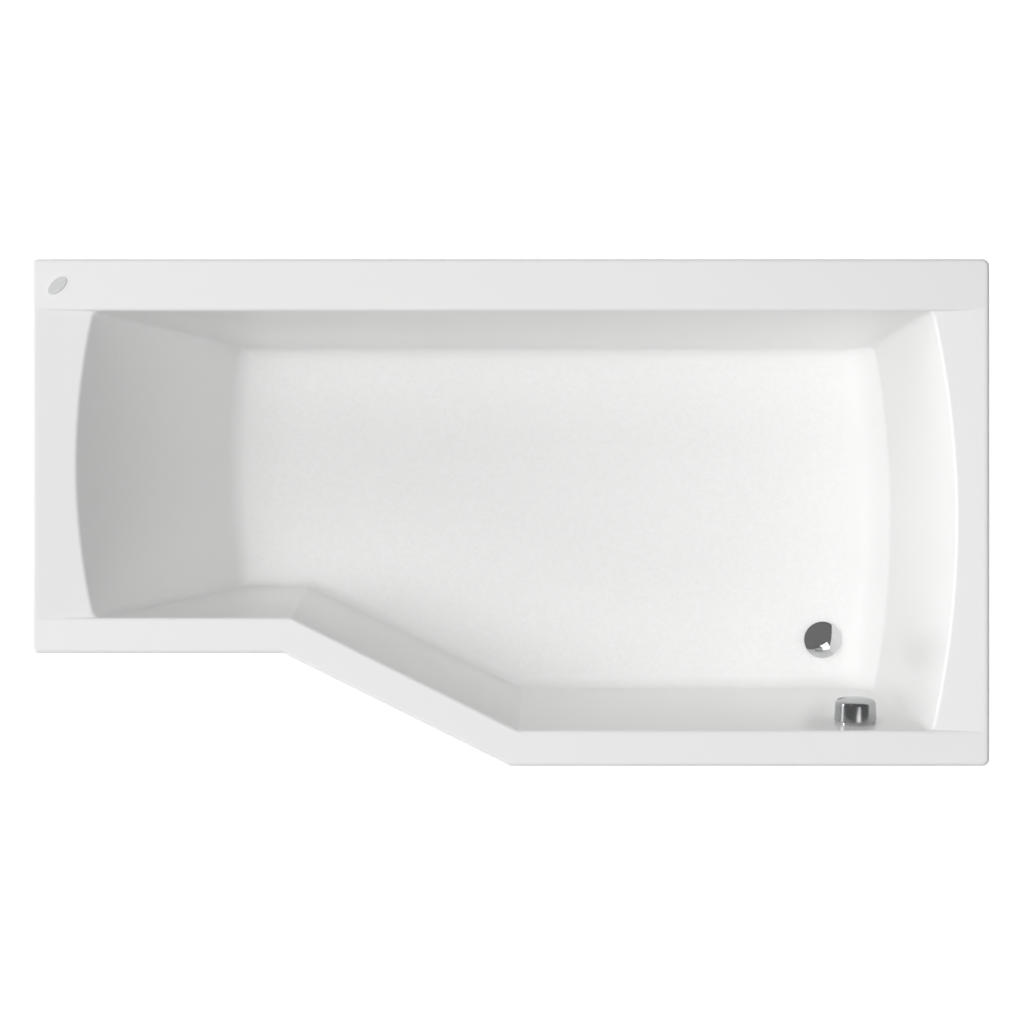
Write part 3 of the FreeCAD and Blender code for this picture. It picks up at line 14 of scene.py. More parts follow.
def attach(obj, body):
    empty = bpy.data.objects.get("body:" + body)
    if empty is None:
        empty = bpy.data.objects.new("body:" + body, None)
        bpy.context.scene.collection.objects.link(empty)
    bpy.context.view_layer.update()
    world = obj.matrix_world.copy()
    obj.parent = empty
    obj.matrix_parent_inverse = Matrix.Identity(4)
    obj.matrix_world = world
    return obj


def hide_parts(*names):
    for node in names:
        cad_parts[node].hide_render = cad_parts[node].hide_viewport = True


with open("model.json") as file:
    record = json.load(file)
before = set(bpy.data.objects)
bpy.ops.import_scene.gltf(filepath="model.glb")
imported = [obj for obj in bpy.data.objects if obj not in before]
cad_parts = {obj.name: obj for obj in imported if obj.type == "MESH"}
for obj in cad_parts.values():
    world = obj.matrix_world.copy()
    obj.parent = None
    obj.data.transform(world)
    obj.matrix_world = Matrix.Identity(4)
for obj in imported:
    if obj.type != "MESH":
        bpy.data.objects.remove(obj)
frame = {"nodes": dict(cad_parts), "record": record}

LOG = logging.getLogger("bath")
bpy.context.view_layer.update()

Colour = tuple[float, float, float]
Point2 = tuple[float, float]
Point3 = tuple[float, float, float]
EndCurve = Callable[[float], Point2]
Stop = tuple[float, Vector]
Mesh = bmesh.types.BMesh
Vert = bmesh.types.BMVert
Piece = bpy.types.Object
Socket = bpy.types.NodeSocket
Tree = bpy.types.NodeTree

X_AXIS = Vector((1, 0, 0))
Y_AXIS = Vector((0, 1, 0))
Z_AXIS = Vector((0, 0, 1))


# Shader nodes


def add_node(tree: Tree, kind: str, inputs: dict[str | int, object], **settings: object) -> bpy.types.Node:
    """Add a shader node with its settings, numbers and links.

    Args:
        tree: Node tree to add to.
        kind: Type of the node, without the words that all types start with.
        inputs: Number, colour or linked socket of each input, by name or index.
        settings: Values of the node's own settings.

    Returns:
        The new node.
    """
    node = tree.nodes.new(f"ShaderNode{kind}")
    for label, value in settings.items():
        setattr(node, label, value)
    for label, value in inputs.items():
        if isinstance(value, Socket):
            tree.links.new(value, node.inputs[label])
        else:
            node.inputs[label].default_value = value
    return node


def add_math(tree: Tree, kind: str, first: object, second: object) -> Socket:
    """Give the result of one operation on two sockets or numbers."""
    return add_node(tree, "Math", {0: first, 1: second}, operation=kind).outputs[0]


class Pattern(Enum):
    """Outputs of the shared node groups that a finish can use, as group and output."""

    RIPPLE = ("ripple", "Height")
    RIPPLE_TONE = ("ripple", "Tone")
    FLAKES = ("flakes", "Mask")
    FLAKE_EDGES = ("flakes", "Edge")
    STRANDS = ("strands", "Mask")
    FILM = ("film", "Mask")
    GROOVES = ("grooves", "Height")


class GroupMaker:
    """Builds the node groups that several finishes share, each one once."""

    def __init__(self) -> None:
        """Start with no groups."""
        self.groups: dict[str, Tree] = {}

    def place(self, tree: Tree, pattern: Pattern, values: dict[str, float]) -> Socket:
        """Place a shared group in a material with its own values.

        Args:
            tree: Node tree of the material.
            pattern: Output that is wanted.
            values: Input values by name.

        Returns:
            The pattern's output.
        """
        name, output = pattern.value
        if name not in self.groups:
            self.groups[name] = getattr(self, f"_{name}")()
        return add_node(tree, "Group", values, node_tree=self.groups[name]).outputs[output]

    @staticmethod
    def _start(name: str, inputs: dict[str, float],
               outputs: Sequence[str]) -> tuple[Tree, bpy.types.NodeOutputs, Socket]:
        """Make an empty group with object coordinates at hand.

        Args:
            name: Name of the group.
            inputs: Input names with their default values.
            outputs: Output names.

        Returns:
            The group, the sockets of its inputs and the object coordinates.
        """
        tree = bpy.data.node_groups.new(name, "ShaderNodeTree")
        for label, value in inputs.items():
            socket = tree.interface.new_socket(label, in_out="INPUT", socket_type="NodeSocketFloat")
            socket.default_value = value
        for label in outputs:
            tree.interface.new_socket(label, in_out="OUTPUT", socket_type="NodeSocketFloat")
        tree.nodes.new("NodeGroupOutput").name = "out"
        place = add_node(tree, "TexCoord", {}).outputs["Object"]
        return tree, tree.nodes.new("NodeGroupInput").outputs, place

    @staticmethod
    def _end(tree: Tree, **results: Socket) -> Tree:
        """Link the results of a group to its outputs.

        Args:
            tree: The group.
            results: Socket of each output.

        Returns:
            The group.
        """
        for label, socket in results.items():
            tree.links.new(socket, tree.nodes["out"].inputs[label])
        return tree

    def _ripple(self) -> Tree:
        """Slow waviness and a fine peel, as moulded sheet has.

        Returns:
            The group.
        """
        inputs = {"Wave": 6.0, "Peel": 400.0, "Share": 0.2}
        tree, sizes, place = self._start("sheet_ripple", inputs, ("Height", "Tone"))
        wave, peel = (
            add_node(tree, "TexNoise", {"Vector": place, "Scale": sizes[label], "Detail": detail}).outputs["Fac"]
            for label, detail in (("Wave", 1.0), ("Peel", 2.0)))
        fine = add_math(tree, "MULTIPLY", peel, sizes["Share"])
        return self._end(tree, Height=add_math(tree, "ADD", wave, fine), Tone=wave)

    def _flakes(self) -> Tree:
        """Flat flakes of random tone, for pressed chips and zinc crystals.

        Returns:
            The group.
        """
        tree, sizes, place = self._start("flat_flakes", {"Scale": 90.0, "Stretch": 1.0}, ("Mask", "Edge"))
        spread = add_node(tree, "CombineXYZ", {"X": sizes["Stretch"], "Y": 1.0, "Z": 1.0}).outputs[0]
        scaled = add_node(tree, "VectorMath", {0: place, 1: spread}, operation="MULTIPLY").outputs[0]
        flakes, edges = (
            add_node(tree, "TexVoronoi", {"Vector": scaled, "Scale": sizes["Scale"]}, feature=feature)
            for feature in ("F1", "DISTANCE_TO_EDGE"))
        split = add_node(tree, "SeparateColor", {0: flakes.outputs["Color"]})
        return self._end(tree, Mask=split.outputs[0], Edge=edges.outputs["Distance"])

    def _strands(self) -> Tree:
        """Short fibres lying every way, as chopped glass strand has.

        Returns:
            The group.
        """
        tree, sizes, place = self._start("glass_strands", {"Scale": 60.0}, ("Mask",))
        total = None
        for turn in (0.2, 1.1, 1.9, 2.7):
            lay = {"Vector": place, "Rotation": (turn * 0.7, turn * 1.3, turn), "Scale": (11.0, 1.0, 1.0)}
            laid = add_node(tree, "Mapping", lay, vector_type="TEXTURE").outputs[0]
            noise = add_node(tree, "TexNoise", {"Vector": laid, "Scale": sizes["Scale"], "Detail": 1.0})
            ridge = {"Value": noise.outputs["Fac"], "From Min": 0.56, "From Max": 0.66}
            strand = add_node(tree, "MapRange", ridge).outputs[0]
            total = strand if total is None else add_math(tree, "MAXIMUM", total, strand)
        return self._end(tree, Mask=total)

    def _film(self) -> Tree:
        """Uneven film of handling marks and dust.

        Returns:
            The group.
        """
        tree, sizes, place = self._start("handling_film", {"Scale": 14.0, "Low": 0.42, "High": 0.68}, ("Mask",))
        cloud = {"Vector": place, "Scale": sizes["Scale"], "Detail": 5.0, "Roughness": 0.62}
        noise = add_node(tree, "TexNoise", cloud).outputs["Fac"]
        spread = {"Value": noise, "From Min": sizes["Low"], "From Max": sizes["High"]}
        return self._end(tree, Mask=add_node(tree, "MapRange", spread).outputs[0])

    def _grooves(self) -> Tree:
        """Even grooves along one axis, for threads and tool marks.

        Returns:
            The group.
        """
        inputs = {"X": 0.0, "Y": 0.0, "Z": 1.0, "Pitch": 0.0015}
        tree, sizes, place = self._start("even_grooves", inputs, ("Height",))
        way = add_node(tree, "CombineXYZ", {axis: sizes[axis] for axis in "XYZ"}).outputs[0]
        along = add_node(tree, "VectorMath", {0: place, 1: way}, operation="DOT_PRODUCT")
        turns = add_math(tree, "DIVIDE", along.outputs["Value"], sizes["Pitch"])
        return self._end(tree, Height=add_math(tree, "PINGPONG", turns, 0.5))


# Finishes


@dataclass(frozen=True)
class Finish:
    """One finish: two tones mixed by a pattern, a range of roughness and a bump from a pattern.

    The roughness follows the handling film where film gives its scale, and else the pattern. The bump
    follows the relief where there is one, and else the pattern. Numbers that are the same all over go
    straight onto the shader.
    """

    name: str
    tone: Colour
    second_tone: Colour
    roughness: Point2
    values: dict[str, float]
    pattern: Pattern = Pattern.FILM
    film: float = 0.0
    bump: float = 0.0
    bump_distance: float = 0.0003
    metallic: float = 0.0
    coat: float = 0.0
    coat_roughness: float = 0.03
    specular: float = 0.5
    relief: Pattern | None = None
    relief_values: dict[str, float] = field(default_factory=dict)

    def make(self, groups: GroupMaker) -> bpy.types.Material:
        """Build the material.

        Args:
            groups: Maker of the shared node groups.

        Returns:
            The finished material.
        """
        material = bpy.data.materials.new(self.name)
        material.use_nodes = True
        tree = material.node_tree
        tree.nodes.clear()
        mask = groups.place(tree, self.pattern, self.values)
        film = groups.place(tree, Pattern.FILM, {"Scale": self.film}) if self.film else mask
        tones = add_node(tree, "Mix", {"A": (*self.tone, 1.0), "B": (*self.second_tone, 1.0), "Factor": mask},
                         data_type="RGBA")
        low, high = self.roughness
        sheen = add_node(tree, "MapRange", {"Value": film, "To Min": low, "To Max": high})
        shader = add_node(tree, "BsdfPrincipled", {
            "Base Color": tones.outputs["Result"], "Roughness": sheen.outputs[0], "Metallic": self.metallic,
            "Coat Weight": self.coat, "Coat Roughness": self.coat_roughness, "Specular IOR Level": self.specular})
        if self.bump:
            height = groups.place(tree, self.relief, self.relief_values) if self.relief else mask
            bump = {"Strength": self.bump, "Distance": self.bump_distance, "Height": height}
            tree.links.new(add_node(tree, "Bump", bump).outputs[0], shader.inputs["Normal"])
        add_node(tree, "OutputMaterial", {"Surface": shader.outputs[0]})
        material.diffuse_color = (*self.tone, 1.0)
        return material


FINISHES: dict[str, Finish] = {
    "acrylic": Finish(
        "white_acrylic", (0.915, 0.915, 0.911), (0.932, 0.932, 0.928), (0.29, 0.33),
        {"Wave": 3.0, "Peel": 700.0, "Share": 0.25}, Pattern.RIPPLE_TONE, film=9.0, bump=0.02,
        bump_distance=0.0008, coat=0.15, coat_roughness=0.05, specular=0.35,
        relief=Pattern.RIPPLE, relief_values={"Wave": 9.0, "Peel": 520.0, "Share": 0.3}),
    "acrylic_floor": Finish(
        "grained_white_acrylic", (0.885, 0.885, 0.881), (0.962, 0.962, 0.958), (0.3, 0.36),
        {"Wave": 180.0, "Peel": 700.0, "Share": 0.25}, Pattern.RIPPLE_TONE, film=9.0, bump=0.5,
        bump_distance=0.0009, coat=0.1, coat_roughness=0.12, specular=0.35,
        relief=Pattern.RIPPLE, relief_values={"Wave": 160.0, "Peel": 420.0, "Share": 0.5}),
    "glass_fibre": Finish(
        "glass_fibre_mat", (0.62, 0.605, 0.52), (0.77, 0.76, 0.69), (0.38, 0.6), {"Scale": 240.0},
        Pattern.STRANDS, bump=0.6, bump_distance=0.0012, coat=0.25, coat_roughness=0.2),
    "chipboard": Finish(
        "pressed_chipboard", (0.42, 0.28, 0.15), (0.68, 0.52, 0.32), (0.7, 0.88),
        {"Scale": 160.0, "Stretch": 0.45}, Pattern.FLAKES, bump=0.25, bump_distance=0.0006, specular=0.25,
        relief=Pattern.FLAKE_EDGES, relief_values={"Scale": 160.0, "Stretch": 0.45}),
    "zinc_steel": Finish(
        "zinc_plated_steel", (0.52, 0.53, 0.55), (0.68, 0.69, 0.7), (0.24, 0.42),
        {"Scale": 110.0, "Stretch": 1.0}, Pattern.FLAKES, film=22.0, bump=0.06, bump_distance=0.0002, metallic=1.0),
    "thread_steel": Finish(
        "threaded_zinc_steel", (0.5, 0.51, 0.53), (0.66, 0.67, 0.68), (0.22, 0.38), {"Scale": 60.0},
        bump=1.0, bump_distance=0.0012, metallic=1.0, relief=Pattern.GROOVES, relief_values={"Pitch": 0.0015}),
    "foot_plastic": Finish(
        "black_foot_plastic", (0.022, 0.022, 0.024), (0.045, 0.045, 0.047), (0.42, 0.62), {"Scale": 30.0},
        bump=0.25, bump_distance=0.0004,
        relief=Pattern.RIPPLE, relief_values={"Wave": 60.0, "Peel": 1400.0, "Share": 0.7}),
    "chrome": Finish(
        "polished_chrome", (0.92, 0.925, 0.93), (0.96, 0.96, 0.965), (0.03, 0.06), {"Scale": 26.0},
        film=40.0, metallic=1.0),
    "satin_chrome": Finish(
        "satin_chrome", (0.45, 0.455, 0.465), (0.52, 0.525, 0.53), (0.19, 0.24), {"Scale": 26.0},
        film=40.0, metallic=1.0),
    "badge_silver": Finish(
        "satin_silver_plate", (0.78, 0.785, 0.79), (0.86, 0.865, 0.87), (0.4, 0.5),
        {"X": 0.64, "Y": 0.77, "Z": 0.0, "Pitch": 0.0004}, Pattern.GROOVES,
        bump=0.05, bump_distance=0.0001, metallic=0.25),
    "rubber": Finish(
        "black_seal_rubber", (0.018, 0.018, 0.018), (0.04, 0.04, 0.04), (0.55, 0.75), {"Scale": 50.0}, bump=0.15),
    "white_plastic": Finish(
        "white_moulded_plastic", (0.74, 0.74, 0.72), (0.8, 0.8, 0.785), (0.3, 0.44), {"Scale": 18.0}, bump=0.12,
        relief=Pattern.RIPPLE, relief_values={"Wave": 30.0, "Peel": 1100.0, "Share": 0.5}),
    "grey_plastic": Finish(
        "grey_moulded_plastic", (0.2, 0.205, 0.22), (0.27, 0.275, 0.29), (0.34, 0.5), {"Scale": 24.0}, bump=0.15,
        relief=Pattern.RIPPLE, relief_values={"Wave": 40.0, "Peel": 1200.0, "Share": 0.6}),
    "hose_plastic": Finish(
        "ribbed_hose_plastic", (0.42, 0.43, 0.45), (0.52, 0.53, 0.55), (0.36, 0.52), {"Scale": 34.0}, bump=0.1),
    "cable_plastic": Finish(
        "black_cable_sheath", (0.02, 0.02, 0.022), (0.038, 0.038, 0.04), (0.34, 0.5), {"Scale": 60.0},
        bump=0.1, bump_distance=0.0002),
    "brass": Finish(
        "turned_brass", (0.62, 0.43, 0.17), (0.74, 0.56, 0.27), (0.2, 0.34), {"Pitch": 0.0006}, Pattern.GROOVES,
        film=50.0, bump=0.12, bump_distance=0.0001, metallic=1.0),
    "wire_steel": Finish(
        "drawn_wire_steel", (0.45, 0.45, 0.46), (0.6, 0.6, 0.61), (0.25, 0.4), {"Pitch": 0.0011}, Pattern.GROOVES,
        bump=0.3, bump_distance=0.0002, metallic=1.0),
}
SPECIAL_FINISHES = {f"foot_stud_{index}": "thread_steel" for index in range(1, 6)}


class Dresser:
    """Hands out finishes and puts them on pieces."""

    def __init__(self) -> None:
        """Start with no materials made."""
        self.groups = GroupMaker()
        self.made: dict[str, bpy.types.Material] = {}

    def material(self, finish: str) -> bpy.types.Material:
        """Give the material of a finish, building it when first asked for.

        Args:
            finish: Key of the finish.

        Returns:
            The material.
        """
        if finish not in self.made:
            self.made[finish] = FINISHES[finish].make(self.groups)
        return self.made[finish]

    def dress(self, piece: Piece, finish: str) -> None:
        """Put a finish on the whole of a piece."""
        piece.data.materials.clear()
        piece.data.materials.append(self.material(finish))

    def dress_nodes(self) -> None:
        """Put the finish of its slot, or its special one, on every node that came from the solids."""
        slots = {row["node"]: row["material_slot"] for row in frame["record"]["subparts"]}
        for name, node in frame["nodes"].items():
            self.dress(node, SPECIAL_FINISHES.get(name, slots[name]))


# Mesh helpers

TINY = 1e-7
FILLET_SHARE = 0.49
TURNED_SHARP, SHELL_SHARP, TUBE_SHARP = 32.0, 35.0, 50.0
FACES_OF_ALL_EDGES = 4


def rounded(start: Vector, corner: Vector, end: Vector, steps: int) -> list[Vector]:
    """Round a corner with a circular arc between two points at the same distance from it.

    Args:
        start: Point before the corner.
        corner: The corner.
        end: Point after the corner.
        steps: Number of divisions.

    Returns:
        Points from start to end.
    """
    first = start - corner
    second = end - corner
    if first.length < TINY or second.length < TINY:
        return [corner.copy() for _ in range(steps + 1)]
    weight = math.sin(first.angle(second) / 2)
    points = []
    for step in range(steps + 1):
        share = step / steps
        a = (1 - share) ** 2
        b = 2 * weight * share * (1 - share)
        c = share ** 2
        points.append((start * a + corner * b + end * c) / (a + b + c))
    return points


def fillet_line(points: Sequence[Point3], steps: int = 6) -> list[Point2]:
    """Round the corners of an open line in a half section.

    Args:
        points: Radius, height and corner radius of each point.
        steps: Divisions of each rounded corner.

    Returns:
        The rounded line.
    """
    line: list[Point2] = []
    for index, (x, y, radius) in enumerate(points):
        here = Vector((x, y))
        if radius <= 0 or index in (0, len(points) - 1):
            line.append((x, y))
            continue
        before = Vector(points[index - 1][:2]) - here
        after = Vector(points[index + 1][:2]) - here
        reach = radius / math.tan(before.angle(after) / 2)
        reach = min(reach, before.length * FILLET_SHARE, after.length * FILLET_SHARE)
        arc = rounded(here + before.normalized() * reach, here, here + after.normalized() * reach, steps)
        line.extend((point.x, point.y) for point in arc)
    return line


def ring_angles(count: int) -> list[float]:
    """Angles of the even divisions of a circle."""
    return [2 * math.pi * step / count for step in range(count)]


def new_piece(name: str, data: bpy.types.Mesh) -> Piece:
    """Put a mesh into the scene as a piece.

    Args:
        name: Name of the piece.
        data: Its mesh.

    Returns:
        The new piece.
    """
    piece = bpy.data.objects.new(name, data)
    bpy.context.scene.collection.objects.link(piece)
    return piece


def finished_piece(name: str, mesh: Mesh, angle: float) -> Piece:
    """Turn a built mesh into a piece that is shaded smoothly, with sharp edges above an angle.

    Args:
        name: Name of the piece.
        mesh: The built mesh, which is freed.
        angle: Edge angle in degrees.

    Returns:
        The new piece.
    """
    data = bpy.data.meshes.new(name)
    mesh.to_mesh(data)
    mesh.free()
    data.polygons.foreach_set("use_smooth", [True] * len(data.polygons))
    data.set_sharp_from_angle(angle=math.radians(angle))
    data.update()
    return new_piece(name, data)


def bridge(mesh: Mesh, rings: Sequence[Sequence[Vert]], closed: bool) -> None:
    """Join each ring to the next with faces. A ring may be a single point.

    Args:
        mesh: Mesh that gets the faces.
        rings: Vertices of the rings.
        closed: Whether the last ring is joined to the first.
    """
    pairs = list(zip(rings, rings[1:]))
    if closed:
        pairs.append((rings[-1], rings[0]))
    for low, high in pairs:
        count = max(len(low), len(high))
        for step in range(count):
            after = (step + 1) % count
            corners = [low[step % len(low)], low[after % len(low)], high[after % len(high)], high[step % len(high)]]
            face = list(dict.fromkeys(corners))
            if len(face) > 2:
                mesh.faces.new(face)
    bmesh.ops.recalc_face_normals(mesh, faces=mesh.faces)


def turned_piece(name: str, section: Sequence[Point2], place: Matrix, around: int, closed: bool = False,
                 shape: Callable[[float, float], float] | None = None) -> Piece:
    """Turn a half section about Z and put it in place.

    Args:
        name: Name of the piece.
        section: Points of the half section as radius and height.
        place: Where the piece stands.
        around: Divisions round the axis.
        closed: Whether the section is a closed loop.
        shape: Optional change of the radius from radius and angle.

    Returns:
        The new piece.
    """
    mesh = bmesh.new()
    rings = []
    for radius, height in section:
        if radius < TINY:
            rings.append([mesh.verts.new(place @ Vector((0, 0, height)))])
            continue
        ring = []
        for angle in ring_angles(around):
            reach = shape(radius, angle) if shape else radius
            ring.append(mesh.verts.new(place @ Vector((reach * math.cos(angle), reach * math.sin(angle), height))))
        rings.append(ring)
    bridge(mesh, rings, closed)
    return finished_piece(name, mesh, TURNED_SHARP)


def fill_with_ring(mesh: Mesh, border: Sequence[Vert], ring: Sequence[Vert], right: Vector, up: Vector) -> None:
    """Fill a flat border with faces that follow a ring in it. The ring is filled as well.

    Args:
        mesh: Mesh that gets the faces.
        border: Corners of the border in order.
        ring: Corners of the ring in order.
        right: First direction of the plane.
        up: Second direction of the plane.
    """
    corners = [*border, *ring]
    flat = [Vector((vert.co.dot(right), vert.co.dot(up))) for vert in corners]
    edges = []
    for first, count in ((0, len(border)), (len(border), len(ring))):
        edges += [(first + step, first + (step + 1) % count) for step in range(count)]
    result = delaunay_2d_cdt(flat, edges, [], FACES_OF_ALL_EDGES, TINY)
    sources = [origin[0] for origin in result[3]]
    for triangle in result[2]:
        mesh.faces.new([corners[sources[index]] for index in triangle])


def upright(centre: Vector, along: Vector, side: Vector) -> Matrix:
    """Give a placement whose Z runs along a direction.

    Args:
        centre: Origin of the placement.
        along: Direction of its Z axis.
        side: Direction near its X axis.

    Returns:
        The placement.
    """
    z = along.normalized()
    x = (side - z * side.dot(z)).normalized()
    turn = Matrix((x, z.cross(x), z)).transposed().to_4x4()
    return Matrix.Translation(centre) @ turn


@dataclass
class WallFrame:
    """Place and directions of the overflow on the front wall."""

    centre: Vector = field(default_factory=lambda: Vector((0.624, -0.3781125, 0.501)))
    slope: float = math.atan2(0.045, 0.4)

    @property
    def out(self) -> Vector:
        """Direction from the wall into the bath."""
        return Vector((0, math.cos(self.slope), math.sin(self.slope)))

    @property
    def down(self) -> Vector:
        """Direction down the wall."""
        return Vector((0, math.sin(self.slope), -math.cos(self.slope)))

    def matrix(self) -> Matrix:
        """Matrix whose Z leaves the wall."""
        return upright(self.centre, self.out, X_AXIS)


# Shell


class Part(Enum):
    """Stretches of a loop round the bath, in order."""

    BACK = "back"
    FOOT = "foot"
    FRONT = "front"
    SLANT = "slant"
    NARROW = "narrow"
    HEAD = "head"


@dataclass(frozen=True)
class BathEnd:
    """Sizes of one end of the well, which is round in plan and changes its slope at a crease.

    The way is -1 for the head end and 1 for the foot end. A slope is the run for each metre of depth.
    """

    way: int
    middle: float
    front_side: str
    ramp: float
    radius: float
    edge: float
    crease: float
    crease_half: float
    upper_slope: float
    lower_slope: float

    def place(self, depth: float) -> float:
        """Find the middle of the end at a depth, with its crease rounded.

        Args:
            depth: Depth below the rim.

        Returns:
            The x of the middle.
        """
        half = self.crease_half
        past = min(max(depth - self.crease + half, 0.0), 2 * half)
        rounding = past * past / (4 * half) + max(depth - self.crease - half, 0.0)
        return self.middle - self.way * (self.upper_slope * depth + (self.lower_slope - self.upper_slope) * rounding)


HEAD = BathEnd(-1, -0.774, "narrow", 0.105, 1.290, 0.009, 0.288, 0.010, 0.1775 / 0.288, 0.0545 / 0.112)
FOOT = BathEnd(1, 0.791, "front", 0.100, 1.710, 0.0065, 0.359, 0.006, 0.051 / 0.359, 0.043 / 0.041)


@dataclass
class Station:
    """One loop round the bath: four straight sides at one height and two end curves with their own."""

    back: float
    front: float
    narrow: float
    front_bend: float
    narrow_bend: float
    side_z: float
    head: EndCurve
    foot: EndCurve
    corner: float
    bend: float


def slope_angle(slope: float) -> float:
    """Angle below the level of a wall with a slope."""
    return math.pi / 2 - math.atan(slope)


def along_arc(radius: float, first: float, last: float) -> Point2:
    """Run and drop along an arc between two angles below the level. A hollow arc has a negative radius."""
    return radius * (math.sin(last) - math.sin(first)), radius * (math.cos(first) - math.cos(last))


def level_end(place: float, height: float) -> EndCurve:
    """Straight end at one place and height."""
    return lambda y: (place, height)


def moved_end(start: EndCurve, run: float, drop: float) -> EndCurve:
    """End moved along x and down from where another one is."""
    return lambda y: (start(y)[0] - run, start(y)[1] - drop)


@dataclass
class BathShell:
    """Acrylic shell as one skin with rounded edges, given its thickness at the end.

    Depths count down from the rim. The well's sides are planes, and its ends are round in plan. The
    outline gives each straight side and bend, and the well gives them at the rim with their change
    down to the floor.
    """

    rim: float = 0.580
    depth: float = 0.400
    lip: float = 0.038
    wall: float = 0.005
    half_length: float = 0.850
    outer_edge: float = 0.0075
    outer_corner: float = 0.013
    outer_bend: float = 0.009
    inner_edge: float = 0.006
    side_slope: float = 0.1
    side_edge_depth: float = 0.0072
    end_edge_depth: float = 0.0045
    ramp_start: float = 0.840
    ramp_drop: float = 0.008
    rim_corner: float = 0.002
    rim_bend: float = 0.012
    edge_bend: float = 0.013
    well_corner: float = 0.014
    well_bend: float = 0.014
    floor_corner: float = 0.018
    floor_rise: float = 0.022
    drift: float = math.tan(math.radians(26.39 / 2))
    drain: Point3 = (0.612, -0.250, 0.027)
    overflow_radius: float = 0.026
    overflow_room: float = 1.25
    outline: dict[str, float] = field(default_factory=lambda: {
        "back": 0.450, "front": -0.450, "narrow": -0.250, "front_bend": 0.0, "narrow_bend": -0.403})
    well: dict[str, Point2] = field(default_factory=lambda: {
        "back": (0.358, -0.038), "front": (-0.387, 0.045), "narrow": (-0.187, 0.045),
        "front_bend": (0.0148, 0.007), "narrow_bend": (-0.3882, -0.008)})
    samples: dict[Part, int] = field(default_factory=lambda: {
        Part.BACK: 48, Part.FOOT: 30, Part.FRONT: 30, Part.SLANT: 20, Part.NARROW: 16, Part.HEAD: 26})
    rim_shares: tuple[float, ...] = (0.0, 0.012, 0.05, 0.11, 0.2, 0.31, 0.43, 0.55, 0.67, 0.75, 0.87, 1.0)
    wall_depths: tuple[float, ...] = (
        0.020, 0.032, 0.045, 0.068, 0.092, 0.115, 0.150, 0.190, 0.230, 0.260, 0.312, 0.330, 0.345, 0.374)
    outer_edge_steps: int = 6
    end_edge_steps: int = 8
    crease_steps: int = 4
    cove_steps: int = 12
    corner_steps: int = 8
    overflow_steps: int = 64
    drain_steps: int = 72
    edge_passes: int = 6

    def build(self, dresser: Dresser) -> list[Piece]:
        """Make the skin, thicken it and dress it.

        Args:
            dresser: Source of the finishes.

        Returns:
            The pieces made.
        """
        mesh = bmesh.new()
        rows = [self._row(mesh, station) for station in (*self._outer(), *self._rim_edges(), *self._walls())]
        self._skin(mesh, rows)
        floor = self._floor(mesh, rows[-1])
        for face in floor:
            face.material_index = 1
        bmesh.ops.recalc_face_normals(mesh, faces=mesh.faces)
        if floor[0].normal.z < 0:
            bmesh.ops.reverse_faces(mesh, faces=mesh.faces)
        bmesh.ops.delete(mesh, geom=[vert for vert in mesh.verts if not vert.link_faces], context="VERTS")
        piece = finished_piece("acrylic_bath_shell", mesh, SHELL_SHARP)
        thick = piece.modifiers.new("sheet", "SOLIDIFY")
        thick.thickness = self.wall
        thick.offset = -1.0
        thick.use_even_offset = True
        level = piece.modifiers.new("flats", "WEIGHTED_NORMAL")
        level.keep_sharp = True
        for finish in ("acrylic", "acrylic_floor"):
            piece.data.materials.append(dresser.material(finish))
        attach(piece, "bath")
        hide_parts("bath_shell")
        return [piece]

    # Sides and ends by depth

    def _inwards(self, lines: dict[str, float], offset: float) -> dict[str, float]:
        """Move the straight sides and their bends inwards by an offset."""
        ways = {"back": -1.0, "front": 1.0, "narrow": 1.0}
        return {name: place + offset * ways.get(name, self.drift) for name, place in lines.items()}

    def _lines(self, depth: float, offset: float = 0.0) -> dict[str, float]:
        """Place the straight sides of the well at a depth, moved inwards by an offset."""
        share = depth / self.depth
        return self._inwards({name: place + change * share for name, (place, change) in self.well.items()}, offset)

    def _plan(self, end: BathEnd, depth: float) -> Callable[[float], float]:
        """Give the plan curve of an end at a depth.

        Args:
            end: The end.
            depth: Depth below the rim.

        Returns:
            A function from y to x.
        """
        lines = self._lines(depth)
        centre = (lines["back"] + lines[end.front_side]) / 2
        middle, radius = end.place(depth), end.radius
        return lambda y: middle + end.way * (math.sqrt(radius * radius - (y - centre) ** 2) - radius)

    def _ramp(self, end: BathEnd) -> float:
        """Slope of the dipped rim of an end."""
        return self.ramp_drop / end.ramp

    def _edge(self, end: BathEnd, y: float) -> float:
        """Find where the dipped rim of an end would meet its wall.

        Args:
            end: The end.
            y: Place across the bath.

        Returns:
            The x of the sharp edge.
        """
        x = self._plan(end, 0.0)(y)
        for _ in range(self.edge_passes):
            x = self._plan(end, self._ramp(end) * (self.ramp_start - abs(x)))(y)
        return x

    def _ramp_curve(self, end: BathEnd, share: float) -> EndCurve:
        """Give the end curve at a share of the way down the dipped rim.

        Args:
            end: The end.
            share: 0 at the start of the dip, 1 where its edge starts to round.

        Returns:
            A function from y to x and z.
        """
        first, last = math.atan(self._ramp(end)), slope_angle(end.upper_slope)
        reach = end.edge * math.tan((last - first) / 2) * math.cos(first)

        def curve(y: float) -> Point2:
            """Point of the dipped rim at a place across the bath."""
            x = end.way * (self.ramp_start * (1 - share) + reach * share) + self._edge(end, y) * share
            return x, self.rim - self._ramp(end) * (self.ramp_start - abs(x))

        return curve

